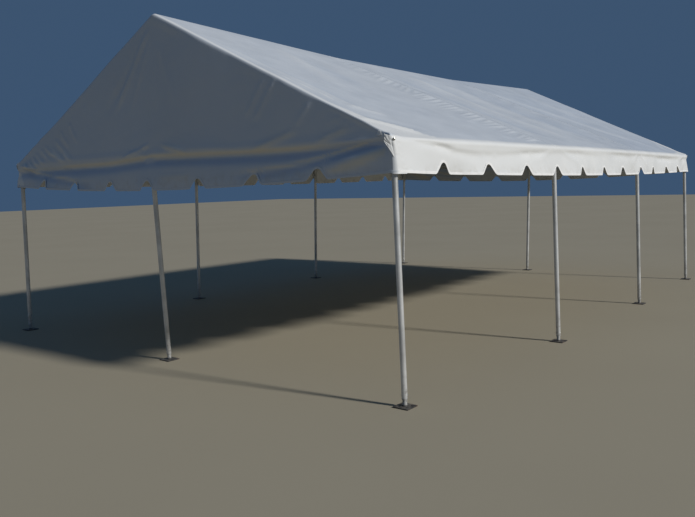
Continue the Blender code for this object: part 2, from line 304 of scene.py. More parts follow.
class Graph:
    """A material's node tree, with one short method for each kind of node that is used."""

    def __init__(self, name: str) -> None:
        """Start a Principled material of that name."""
        self.material = bpy.data.materials.new(name)
        self.material.use_nodes = True
        self._tree = self.material.node_tree
        self.shader = self._tree.nodes["Principled BSDF"]
        coordinates = self._tree.nodes.new("ShaderNodeTexCoord")
        self.place = coordinates.outputs["Object"]
        self.cloth = coordinates.outputs["UV"]

    def link(self, source: Socket, target: Socket) -> None:
        """Join an output to an input."""
        self._tree.links.new(source, target)

    def _node(self, kind: str, **settings: object) -> bpy.types.Node:
        """Add a node and set its properties."""
        node = self._tree.nodes.new(kind)
        for key, value in settings.items():
            setattr(node, key, value)
        return node

    def _feed(self, node: bpy.types.Node, key: str | int, value: object) -> None:
        """Link an output to a node's input, or set the input to a plain value."""
        if isinstance(value, Socket):
            self.link(value, node.inputs[key])
        else:
            node.inputs[key].default_value = value

    def stretch(self, source: Socket, scale: Triple) -> Socket:
        """Return coordinates scaled along each axis."""
        node = self._node("ShaderNodeMapping")
        self._feed(node, "Vector", source)
        self._feed(node, "Scale", scale)
        return node.outputs["Vector"]

    def noise(self, source: Socket, scale: float, detail: float = 3.0,
              roughness: float = 0.55, distortion: float = 0.0) -> Socket:
        """Return soft noise from 0 to 1, of about scale blots a metre."""
        node = self._node("ShaderNodeTexNoise")
        self._feed(node, "Vector", source)
        for key, value in (("Scale", scale), ("Detail", detail), ("Roughness", roughness),
                           ("Distortion", distortion)):
            self._feed(node, key, value)
        return node.outputs["Fac"]

    def cells(self, source: Socket, scale: float) -> Socket:
        """Return the distance to the nearest of scattered points."""
        node = self._node("ShaderNodeTexVoronoi")
        self._feed(node, "Vector", source)
        self._feed(node, "Scale", scale)
        return node.outputs["Distance"]

    def bands(self, source: Socket, scale: float, axis: str) -> Socket:
        """Return straight bands across an axis; a band is pi / 10 / scale metres wide."""
        node = self._node("ShaderNodeTexWave", bands_direction=axis, wave_profile="SIN")
        self._feed(node, "Vector", source)
        self._feed(node, "Scale", scale)
        return node.outputs["Fac"]

    def axis(self, source: Socket, name: str) -> Socket:
        """Return one coordinate of a vector."""
        node = self._node("ShaderNodeSeparateXYZ")
        self._feed(node, 0, source)
        return node.outputs[name]

    def upward(self) -> Socket:
        """Return how far the surface looks up, from -1 to 1."""
        return self.axis(self._node("ShaderNodeNewGeometry").outputs["Normal"], "Z")

    def attribute(self, name: str) -> Socket:
        """Return a number that the mesh carries at its points, 0 where it has none."""
        return self._node("ShaderNodeAttribute", attribute_name=name).outputs["Fac"]

    def ramp(self, source: Socket, low: float, high: float, start: float = 0.0,
             end: float = 1.0) -> Socket:
        """Return a value carried from low..high to start..end, smoothly and clamped."""
        node = self._node("ShaderNodeMapRange", interpolation_type="SMOOTHSTEP")
        self._feed(node, 0, source)
        for index, value in enumerate((low, high, start, end), start=1):
            self._feed(node, index, value)
        return node.outputs[0]

    def sum(self, operation: str, a: object, b: object) -> Socket:
        """Return a sum, product or other operation of two values."""
        node = self._node("ShaderNodeMath", operation=operation)
        self._feed(node, 0, a)
        self._feed(node, 1, b)
        return node.outputs[0]

    def blend(self, share: object, first: object, second: object) -> Socket:
        """Return two colours mixed by a share; colours are given as three numbers."""
        node = self._node("ShaderNodeMix", data_type="RGBA", blend_type="MIX")
        self._feed(node, 0, share)
        for key, colour in ((6, first), (7, second)):
            plain = isinstance(colour, (tuple, list))
            self._feed(node, key, (*colour, 1.0) if plain else colour)
        return node.outputs[2]

    def bump(self, height: Socket, distance: float, strength: float = 1.0,
             under: Socket | None = None) -> Socket:
        """Return a normal bumped by a height of 0 to 1 times a distance in metres."""
        node = self._node("ShaderNodeBump")
        self._feed(node, "Height", height)
        self._feed(node, "Distance", distance)
        self._feed(node, "Strength", strength)
        if under is not None:
            self._feed(node, "Normal", under)
        return node.outputs["Normal"]

    def finish(self, colour: Socket, roughness: Socket, normal: Socket) -> bpy.types.Material:
        """Plug colour, roughness and normal into the shader and return the material."""
        self.link(colour, self.shader.inputs["Base Color"])
        self.link(roughness, self.shader.inputs["Roughness"])
        self.link(normal, self.shader.inputs["Normal"])
        return self.material


@dataclass(frozen=True)
class Vinyl:
    """Coated vinyl on a woven scrim: warm white where unstained and lit, blue-grey where stained.

    The blue-grey also stands for painted shade, and the gables take painted warm and cool light.
    """

    clean: Triple = (0.72, 0.73, 0.72)
    # Blue-grey of weather stains and of painted sky-lit shade.
    weathered_and_shaded: Triple = (0.475, 0.525, 0.59)
    # Painted warm light bounced up from the ground.
    settled: Triple = (0.76, 0.67, 0.50)
    # Painted cool light of the sky.
    cool: Triple = (0.36, 0.46, 0.63)
    stain: Triple = (0.47, 0.48, 0.48)
    # Colour of real dirt specks near the hem.
    dust: Triple = (0.46, 0.42, 0.36)
    gloss: float = 0.40
    dull: float = 0.56
    hem_height: float = 1.95

    def build(self, name: str) -> bpy.types.Material:
        """Return the material; the mesh's marks place its stains, its painted light and shade, and
        the painted warm and cool light.
        """
        g = Graph(name)
        g.shader.inputs["Specular IOR Level"].default_value = 0.45
        # The white shows where the cloth is unstained and where light is painted; the blue-grey
        # where it is stained and where shade is painted.
        clean = g.attribute(CLEAN_AND_LIT_MARK)
        colour = g.blend(clean, self.weathered_and_shaded, self.clean)
        # Painted light: warm bounced light where the tint mark is above 0, cool sky light where it
        # is below 0.
        dust = g.attribute(LIGHT_TINT_MARK)
        colour = g.blend(dust, colour, self.settled)
        colour = g.blend(g.sum("MULTIPLY", dust, -1.0), colour, self.cool)
        runs = g.ramp(g.noise(g.stretch(g.cloth, (2.4, 0.35, 1.0)), 1.0, 3.0), 0.4, 0.8, 0.0, 0.12)
        worn = g.sum("MULTIPLY", runs, g.sum("SUBTRACT", 1.0, clean))
        clouds = g.ramp(g.noise(g.place, 0.8, 5.0, 0.6), 0.38, 0.75, 0.0, 0.16)
        colour = g.blend(g.sum("ADD", worn, clouds), colour, self.stain)
        # Real dirt specks near the hem.
        low = g.ramp(g.axis(g.place, "Z"), self.hem_height, self.hem_height + 0.10, 1.0, 0.0)
        specks = g.ramp(g.noise(g.place, 14.0, 5.0), 0.42, 0.72, 0.0, 0.28)
        colour = g.blend(g.sum("MULTIPLY", low, specks), colour, self.dust)
        rough = g.ramp(g.noise(g.place, 3.5, 4.0), 0.3, 0.75, self.gloss, self.dull)
        warp, weft = g.bands(g.cloth, 105.0, "X"), g.bands(g.cloth, 105.0, "Y")
        scrim = g.bump(g.sum("MAXIMUM", warp, weft), 0.00015, 0.5)
        crumple = g.bump(g.noise(g.place, 5.0, 4.0, 0.45, 0.3), 0.004, 0.05, scrim)
        fine = g.bump(g.noise(g.place, 28.0, 3.0), 0.0008, 0.12, crumple)
        return g.finish(colour, rough, fine)


@dataclass(frozen=True)
class Webbing:
    """Woven polyester tape: hem binding, seam covers and straps."""

    colour: Triple = (0.84, 0.84, 0.83)
    shade: Triple = (0.58, 0.58, 0.57)
    # Painted shade of the tape on the gables.
    soiled: Triple = (0.55, 0.59, 0.63)
    gable_at: float = 4.575
    roughness: float = 0.72

    def build(self, name: str) -> bpy.types.Material:
        """Return the material, ribbed along the UV map's length and painted in shade on the gables.
        """
        g = Graph(name)
        ribs = g.bands(g.cloth, 70.0, "X")
        wear = g.ramp(g.noise(g.place, 11.0, 4.0), 0.4, 0.75)
        colour = g.blend(g.sum("MULTIPLY", wear, 0.4), self.colour, self.shade)
        along = g.sum("ABSOLUTE", g.axis(g.place, "X"), 0.0)
        # Painted shade: on the gables the tape turns darker and bluer.
        colour = g.blend(g.ramp(along, self.gable_at, self.gable_at + 0.02), colour, self.soiled)
        rough = g.ramp(wear, 0.0, 1.0, self.roughness, self.roughness + 0.12)
        return g.finish(colour, rough, g.bump(ribs, 0.0003, 0.5))


@dataclass(frozen=True)
class TubeMetal:
    """Mill-finish aluminium tube: drawn lines, scuffs and a little grime at the ground."""

    bright: Triple = (0.70, 0.705, 0.69)
    dull: Triple = (0.50, 0.505, 0.49)
    grime: Triple = (0.20, 0.18, 0.15)

    def build(self, name: str) -> bpy.types.Material:
        """Return the material."""
        g = Graph(name)
        g.shader.inputs["Metallic"].default_value = 0.45
        patches = g.noise(g.place, 4.0, 5.0)
        colour = g.blend(g.ramp(patches, 0.35, 0.7), self.bright, self.dull)
        low = g.ramp(g.axis(g.place, "Z"), 0.06, 0.45, 1.0, 0.0)
        mud = g.sum("MULTIPLY", low, g.ramp(g.noise(g.place, 26.0, 5.0), 0.42, 0.68))
        colour = g.blend(g.sum("MULTIPLY", mud, 0.6), colour, self.grime)
        scratches = g.noise(g.stretch(g.place, (240.0, 240.0, 6.0)), 1.0, 3.0)
        scuffs = g.ramp(g.noise(g.place, 38.0, 6.0, 0.7), 0.55, 0.72)
        drawn = g.ramp(scratches, 0.3, 0.7, 0.30, 0.44)
        rough = g.sum("ADD", drawn, g.sum("MULTIPLY", scuffs, 0.2))
        lines = g.bump(scratches, 0.0002, 0.35)
        return g.finish(colour, rough, g.bump(scuffs, 0.0004, 0.25, lines))


@dataclass(frozen=True)
class Galvanised:
    """Hot-dipped steel: a grey spangle with brighter welds."""

    bright: Triple = (0.56, 0.57, 0.58)
    dark: Triple = (0.34, 0.35, 0.36)

    def build(self, name: str) -> bpy.types.Material:
        """Return the material."""
        g = Graph(name)
        g.shader.inputs["Metallic"].default_value = 0.8
        spangle = g.ramp(g.cells(g.place, 120.0), 0.1, 0.7)
        clouds = g.noise(g.place, 12.0, 4.0)
        share = g.sum("MULTIPLY", spangle, g.ramp(clouds, 0.2, 0.8))
        colour = g.blend(share, self.bright, self.dark)
        rough = g.ramp(clouds, 0.3, 0.7, 0.42, 0.6)
        return g.finish(colour, rough, g.bump(g.noise(g.place, 300.0, 3.0), 0.0004, 0.3))


@dataclass(frozen=True)
class FootPaint:
    """Dark painted steel, chipped to rust and dusty on top; the stub over the plate is bare."""

    paint: Triple = (0.045, 0.043, 0.042)
    rust: Triple = (0.17, 0.075, 0.035)
    dust: Triple = (0.22, 0.20, 0.17)
    bare: Triple = (0.46, 0.46, 0.44)
    plate_top: float = 0.0095

    def build(self, name: str) -> bpy.types.Material:
        """Return the material."""
        g = Graph(name)
        g.shader.inputs["Metallic"].default_value = 0.2
        chips = g.ramp(g.noise(g.place, 34.0, 6.0, 0.68), 0.57, 0.66)
        colour = g.blend(g.sum("MULTIPLY", chips, 0.85), self.paint, self.rust)
        blots = g.ramp(g.noise(g.place, 16.0, 5.0), 0.3, 0.7)
        # On the foot this is real dirt on the faces that look up.
        settled = g.sum("MULTIPLY", g.ramp(g.upward(), 0.4, 0.95), blots)
        colour = g.blend(g.sum("MULTIPLY", settled, 0.7), colour, self.dust)
        over = g.ramp(g.axis(g.place, "Z"), self.plate_top + 0.006, self.plate_top + 0.014)
        rubbed = g.sum("MULTIPLY", over, g.ramp(g.noise(g.place, 45.0, 4.0), 0.62, 0.5, 0.35, 0.95))
        colour = g.blend(rubbed, colour, self.bare)
        rough = g.ramp(g.noise(g.place, 60.0, 4.0), 0.3, 0.7, 0.5, 0.8)
        return g.finish(colour, rough, g.bump(g.noise(g.place, 150.0, 4.0), 0.0006, 0.5))


@dataclass(frozen=True)
class Zinc:
    """Bright zinc plate of pins, rings and grommets, with a few dull spots and a painted shadow on
    the grommets' hole floors.
    """

    bright: Triple = (0.66, 0.65, 0.60)
    dull: Triple = (0.34, 0.33, 0.30)
    # Painted shadow inside a grommet's hole.
    hole: Triple = (0.012, 0.012, 0.013)

    def build(self, name: str) -> bpy.types.Material:
        """Return the material."""
        g = Graph(name)
        g.shader.inputs["Metallic"].default_value = 0.9
        spots = g.ramp(g.noise(g.place, 90.0, 4.0), 0.4, 0.7)
        colour = g.blend(spots, self.bright, self.dull)
        # Painted shadow: where the UV's X is one, the grommet's floor turns near-black.
        colour = g.blend(g.ramp(g.axis(g.cloth, "X"), 0.8, 0.95), colour, self.hole)
        rough = g.ramp(spots, 0.0, 1.0, 0.28, 0.5)
        return g.finish(colour, rough, g.bump(spots, 0.0002, 0.3))


FINISHES = {
    "vinyl": Vinyl(),
    "binding": Webbing(),
    "strap": Webbing((0.55, 0.55, 0.54), (0.36, 0.36, 0.35)),
    "tube": TubeMetal(),
    "galvanised": Galvanised(),
    "foot_paint": FootPaint(),
    "zinc": Zinc(),
}


# The skeleton that everything is fitted to

@dataclass(frozen=True)
class Run:
    """A straight member between the points where centre lines meet."""

    name: str
    start: Array
    end: Array

    @property
    def direction(self) -> Array:
        """Return the unit vector from start to end."""
        return unit(self.end - self.start)

    @property
    def length(self) -> float:
        """Return the distance between the two points."""
        return float(np.linalg.norm(self.end - self.start))


@dataclass(frozen=True)
class Skeleton:
    """The tent's centre lines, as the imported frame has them."""

    length: float = 9.144
    width: float = 6.096
    bays: int = 3
    eave: float = 2.22
    rise: float = 1.46
    ridge_drop: float = 0.10
    eave_bow: float = 0.09
    gable_bow: float = 0.14
    side_splay: float = 0.07
    gable_inset: float = 0.10
    pipe_radius: float = 0.0254
    hub_clearance: float = 0.02
    leg_start: float = 0.075

    @property
    def half_length(self) -> float:
        """Return half the length between the end pipes' centre lines."""
        return self.length / 2 - self.pipe_radius

    @property
    def half_width(self) -> float:
        """Return half the width between the eave pipes' centre lines at a gable."""
        return self.width / 2 - self.pipe_radius

    @property
    def bay(self) -> float:
        """Return the distance between two rafter pairs."""
        return 2 * self.half_length / self.bays

    @property
    def stations(self) -> Array:
        """Return how far along the tent each rafter pair stands."""
        return -self.half_length + self.bay * np.arange(self.bays + 1)

    def inner(self, amount: float) -> Array:
        """Return an amount at each inner station and none at the two ends."""
        return np.array([0.0] + [amount] * (self.bays - 1) + [0.0])

    def half_at(self, x: Array | float) -> Array:
        """Return how far out the eave's centre line is, straight between the stations."""
        return np.interp(x, self.stations, self.half_width + self.inner(self.eave_bow))

    def ridge_at(self, x: Array | float) -> Array:
        """Return how high the ridge's centre line is, straight between the stations."""
        return np.interp(x, self.stations, self.eave + self.rise - self.inner(self.ridge_drop))

    def eave_point(self, station: int, side: Side) -> Array:
        """Return the point where centre lines meet at the eave."""
        x = self.stations[station]
        return spot(x, side.value * float(self.half_at(x)), self.eave)

    def ridge_point(self, station: int) -> Array:
        """Return the point where centre lines meet at the ridge."""
        x = self.stations[station]
        return spot(x, 0, float(self.ridge_at(x)))

    def gable_point(self, end: End) -> Array:
        """Return the point where a middle leg meets its gable rails."""
        return spot(end.value * (self.half_length + self.gable_bow), 0, self.eave)

    def end_station(self, end: End) -> int:
        """Return the number of the rafter pair at an end."""
        return 0 if end is End.FRONT else self.bays

    def legs(self) -> list[Run]:
        """List the ten legs from head to ground."""
        rows = []
        for side in Side:
            for station in range(self.bays + 1):
                head = self.eave_point(station, side)
                ground = spot(head[0], head[1] + side.value * self.side_splay, 0)
                rows.append(Run(f"leg_{side.word}_{station + 1}", head, ground))
        for end in End:
            head = self.gable_point(end)
            ground = spot(head[0] - end.value * self.gable_inset, 0, 0)
            rows.append(Run(f"leg_{end.word}_middle", head, ground))
        return rows

    def pipes(self) -> list[Run]:
        """List the rails, rafters and ridge pipes."""
        rows = []
        for side in Side:
            for bay in range(self.bays):
                ends = self.eave_point(bay, side), self.eave_point(bay + 1, side)
                rows.append(Run(f"eave_rail_{side.word}_{bay + 1}", *ends))
            for station in range(self.bays + 1):
                ends = self.eave_point(station, side), self.ridge_point(station)
                rows.append(Run(f"rafter_{side.word}_{station + 1}", *ends))
            for end in End:
                ends = self.eave_point(self.end_station(end), side), self.gable_point(end)
                rows.append(Run(f"gable_rail_{end.word}_{side.word}", *ends))
        for bay in range(self.bays):
            ends = self.ridge_point(bay), self.ridge_point(bay + 1)
            rows.append(Run(f"ridge_pipe_{bay + 1}", *ends))
        return rows

    def posts(self) -> list[Run]:
        """List the two king posts from foot to head."""
        return [Run(f"king_post_{end.word}", self.gable_point(end),
                    self.ridge_point(self.end_station(end))) for end in End]

    def arms_at(self, point: Array) -> list[Array]:
        """List the directions of all members that meet at a point."""
        arms = []
        for run in self.legs() + self.pipes() + self.posts():
            if np.linalg.norm(run.start - point) < SAME_POINT:
                arms.append(run.direction)
            if np.linalg.norm(run.end - point) < SAME_POINT:
                arms.append(-run.direction)
        return arms

    def reach(self, point: Array, direction: Array) -> float:
        """Return how far from a joint a pipe ends, so that it clears its neighbours."""
        angles = [math.acos(float(np.clip(arm @ direction, -1, 1))) for arm in self.arms_at(point)]
        closest = min(angle for angle in angles if angle > 0.01)
        return self.pipe_radius / math.tan(closest / 2) + self.hub_clearance

    def cuts(self, run: Run) -> Pair:
        """Return how much shorter a pipe is than its run, at its start and its end."""
        start = self.reach(run.start, run.direction)
        if run.end[2] == 0:
            return start, self.leg_start
        return start, self.reach(run.end, -run.direction)


class Workshop:
    """Turns meshes into pieces of the tent and keeps one material of each finish."""

    def __init__(self) -> None:
        """Start with no materials."""
        self._materials: dict[str, bpy.types.Material] = {}

    def material(self, finish: str) -> bpy.types.Material:
        """Return the material of a finish, made when it is first asked for."""
        if finish not in self._materials:
            self._materials[finish] = FINISHES[finish].build(finish)
        return self._materials[finish]

    def add(self, name: str, mesh: bpy.types.Mesh, finish: str, slot: Slot,
            replaces: Iterable[str] = (), crease: float | None = 40.0) -> bpy.types.Object:
        """Link a mesh as a piece that rides on the tent.

        Args:
            name: the piece's name.
            mesh: its mesh, in place.
            finish: the name of its finish.
            slot: not used.
            replaces: CAD nodes that it stands for.
            crease: edges sharper than this many degrees stay sharp; None for no sharp edge.

        Returns:
            The new object.
        """
        piece = bpy.data.objects.new(name, mesh)
        bpy.context.scene.collection.objects.link(piece)
        mesh.materials.append(self.material(finish))
        mesh.shade_smooth()
        if crease is not None:
            mesh.set_sharp_from_angle(angle=math.radians(crease))
        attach(piece, "root")
        nodes = list(replaces)
        if nodes:
            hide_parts(*nodes)
        LOG.info("%s: %d faces, stands for %s", name, len(mesh.polygons), nodes or "no node")
        return piece


# The canopy

@dataclass(frozen=True)
class Fold:
    """A fold on a flat sheet, from one point to another, standing out or pressed in."""

    start: Pair
    end: Pair
    width: float
    height: float
    bend: float = 0.0
    fade: float = 0.25
    lean: float = 0.0
    tail: float | None = None

    def lift(self, u: Array, v: Array) -> Array:
        """Return the height at places on the sheet.

        Formula: height times a bell across the fold, exp(-(n / width)^2), times a soft start and
        end along it. bend bows the fold sideways and lean makes its two flanks unequal.
        """
        du, dv = self.end[0] - self.start[0], self.end[1] - self.start[1]
        length = math.hypot(du, dv)
        t = ((u - self.start[0]) * du + (v - self.start[1]) * dv) / length ** 2
        n = ((v - self.start[1]) * du - (u - self.start[0]) * dv) / length
        n = n - self.bend * 4 * np.clip(t, 0, 1) * (1 - np.clip(t, 0, 1))
        width = self.width * (1 + self.lean * np.sign(n))
        along = ease(t / self.fade) * ease((1 - t) / (self.tail or self.fade))
        return self.height * np.exp(-np.minimum((n / width) ** 2, 50.0)) * along


@dataclass(frozen=True)
class Line:
    """A line drawn on a face: heights at places along it, straight between them."""

    places: Numbers
    heights: Numbers

    def at(self, u: Array) -> Array:
        """Return the line's height at distances along the face."""
        return np.interp(u, self.places, self.heights)


def pucker_row(start: Pair, end: Pair, count: int,
               reach: Pair, height: float, width: float, seed: int,
               fade: float = 0.45, tail: float = 0.45) -> list[Fold]:
    """List short folds that run off a seam like the rungs of a ladder.

    Args:
        start: the seam's first point on the sheet.
        end: the seam's last point.
        count: how many folds.
        reach: the step from the seam to a fold's far end.
        height: how much the folds stand out, in metres.
        width: half width of a fold.
        seed: seed of their unevenness.
        fade: share of a fold's length over which it rises from the seam.
        tail: share of its length over which it dies out.

    Returns:
        The folds, each a little longer, lower or further on than the next.
    """
    draw = np.random.default_rng(seed)
    folds = []
    for number in range(count):
        share = (number + 0.5 + draw.uniform(-0.22, 0.22)) / count
        u = start[0] + share * (end[0] - start[0])
        v = start[1] + share * (end[1] - start[1])
        size = draw.uniform(0.65, 1.15)
        tip = (u + reach[0] * size, v + reach[1] * size * draw.uniform(0.6, 1.3))
        folds.append(Fold((u, v), tip, width * draw.uniform(0.8, 1.2),
                          height * draw.uniform(0.6, 1.2), draw.uniform(-0.02, 0.02), fade,
                          tail=tail))
    return folds


def ripple(u: Array, v: Array, seed: int, scale: float, count: int = 14) -> Array:
    """Return uneven soft waves of about unit height.

    Formula: the sum of sines of random direction, phase and length around scale metres.
    """
    draw = np.random.default_rng(seed)
    total = np.zeros_like(u)
    for _ in range(count):
        angle, phase = draw.uniform(0, 2 * math.pi, 2)
        rate = 2 * math.pi / (scale * draw.uniform(0.6, 1.8))
        total += np.sin(rate * (u * math.cos(angle) + v * math.sin(angle)) + phase)
    return total / math.sqrt(count / 2)


@dataclass(frozen=True)
class Hem:
    """The scalloped hem: lobes with rounded notches between them, sagging between the corners."""

    height: float = 1.95
    side_sag: float = 0.045
    gable_sag: float = 0.093
    depth: float = 0.103
    slope: float = math.radians(48)
    apex_radius: float = 0.055
    foot_radius: float = 0.048

    def half_notch(self, steps: int) -> Array:
        """Return one notch from its apex down to the hem, as (distance, rise) rows.

        Formula: an arc about the apex, a straight flare and a smaller arc back to level.

        Args:
            steps: intervals to spend: half on the apex, a third on the foot, the rest between.
        """
        top, foot = steps // 2, max(steps // 3, 2)
        flare = steps - top - foot
        a = np.linspace(0, self.slope, top + 1)
        apex = np.stack((self.apex_radius * np.sin(a),
                         self.depth - self.apex_radius * (1 - np.cos(a))), -1)
        b = np.linspace(self.slope, 0, foot + 1)
        rise = self.foot_radius * (1 - np.cos(b))
        drop = apex[-1, 1] - rise[0]
        edge = apex[-1, 0] + drop / math.tan(self.slope)
        turn = np.stack((edge + self.foot_radius * (math.sin(self.slope) - np.sin(b)), rise), -1)
        share = np.linspace(0, 1, flare + 1)[1:-1, None]
        return np.concatenate((apex, apex[-1] + share * (turn[0] - apex[-1]), turn))

    def lobe(self, start: float, end: float, steps: int, notch: int, first: bool,
             last: bool) -> Array:
        """Return a lobe's hem from one notch's apex to the next, without its last point.

        Args:
            start: distance of the first apex, or of the corner leg where first is set.
            end: distance of the next apex, or of the corner leg where last is set.
            steps: intervals in all.
            notch: intervals of a half notch.
            first: there is no notch at the start.
            last: there is no notch at the end.
        """
        half = self.half_notch(notch)
        left = np.array([[start, 0.0]]) if first else half + [start, 0]
        right = np.array([[end, 0.0]]) if last else (half * [-1, 1])[::-1] + [end, 0]
        flat = steps - (len(left) - 1) - (len(right) - 1)
        share = np.linspace(0, 1, flat + 1)[1:-1, None]
        between = left[-1] + share * (right[0] - left[-1])
        return np.concatenate((left, between, right))[:-1]

    def row(self, half: float, lobes: int, steps: int, notch: int, sag: float) -> Array:
        """Return a whole side's hem between its corner legs, as (distance, height) rows.

        Formula: the lobes one after another, less a parabola that is sag deep in the middle.
        """
        pitch = 2 * half / lobes
        rows = [self.lobe(-half + i * pitch, -half + (i + 1) * pitch, steps, notch, i == 0,
                          i == lobes - 1) for i in range(lobes)]
        rows = np.concatenate(rows + [np.array([[half, 0.0]])])
        rows[:, 1] += self.height - sag * (1 - (rows[:, 0] / half) ** 2)
        return rows


@dataclass
class Envelope:
    """The tent's outside: six smooth faces, and the rounded skin where they meet."""

    frame: Skeleton
    standoff: float = 0.0389
    over_pipe: float = 0.0279
    sag: float = 0.033
    flat_band: float = 0.05
    radius: float = 0.032

    def roof_height(self, x: Array, out: Array) -> Array:
        """Return a slope's height at a distance along the tent and out from the ridge.

        Formula: the line from eave to ridge, lifted to clear the pipes, less a sag that is a
        parabola between two rafters times the square of one between eave and ridge.
        """
        half = self.frame.half_at(x)
        slope = (self.frame.ridge_at(x) - self.frame.eave) / half
        share = np.mod((x + self.frame.half_length) / self.frame.bay, 1.0)
        share = np.where(np.abs(x) < self.frame.half_length, share, 0.0)
        up = np.clip((half - self.flat_band - out) / (half - 2 * self.flat_band), 0, 1)
        sag = self.sag * 4 * share * (1 - share) * (4 * up * (1 - up)) ** 2
        return self.frame.eave + slope * (half - out) + self.over_pipe * np.hypot(1, slope) - sag

    def bulge(self, y: Array, z: Array) -> Array:
        """Return how far a gable stands out beyond its corners."""
        up = np.maximum(z - self.frame.eave, 0) / self.frame.rise
        return self.frame.gable_bow * np.maximum(1 - np.abs(y) / self.frame.half_width - up, 0)

    @property
    def tip(self) -> float:
        """Return how far along the tent its corners are."""
        return self.frame.half_length + self.standoff

    @property
    def edge(self) -> float:
        """Return how far out the side valances hang at the gables."""
        return float(self.side_out(self.frame.half_length))

    def side_out(self, x: Array) -> Array:
        """Return how far out a side valance hangs."""
        return self.frame.half_at(x) + self.standoff

    def end_out(self, y: Array, z: Array) -> Array:
        """Return how far along a gable hangs."""
        return self.frame.half_length + self.standoff + self.bulge(y, z)

    def distances(self, points: Array) -> Array:
        """Return the signed distances to the roofs, sides and ends, positive outside."""
        x, y, z = points.T
        slope = (self.frame.ridge_at(x) - self.frame.eave) / self.frame.half_at(x)
        level = 1 / np.hypot(1, slope)
        rows = [(z - self.roof_height(x, side.value * y)) * level for side in Side]
        rows += [side.value * y - self.side_out(x) for side in Side]
        rows += [end.value * x - self.end_out(y, z) for end in End]
        return np.stack(rows, -1)

    def wrap(self, points: Array) -> tuple[Array, Array, Array]:
        """Move points on the sharp faces onto the rounded skin.

        Formula: Newton steps along the gradient of sqrt(sum of max(d + r, 0)^2) - r, where d are
        the six distances and r is the rounding.

        Args:
            points: n x 3, on the sharp faces.

        Returns:
            The moved points, each face's share in them, and the outward normals.
        """
        step, points = 1e-4, points.copy()
        for _ in range(7):
            base = self.distances(points)
            slopes = np.stack([(self.distances(points + step * axis) - base) / step
                               for axis in np.eye(3)], -1)
            near = np.maximum(base + self.radius, 0)
            size = np.maximum(np.linalg.norm(near, axis=1), 1e-9)
            gradient = np.einsum("nf,nfk->nk", near, slopes) / size[:, None]
            amount = (size - self.radius) / np.sum(gradient ** 2, axis=1)
            points -= amount[:, None] * gradient
        shares = near ** 2 / np.sum(near ** 2, axis=1, keepdims=True)
        return points, shares, unit(gradient)


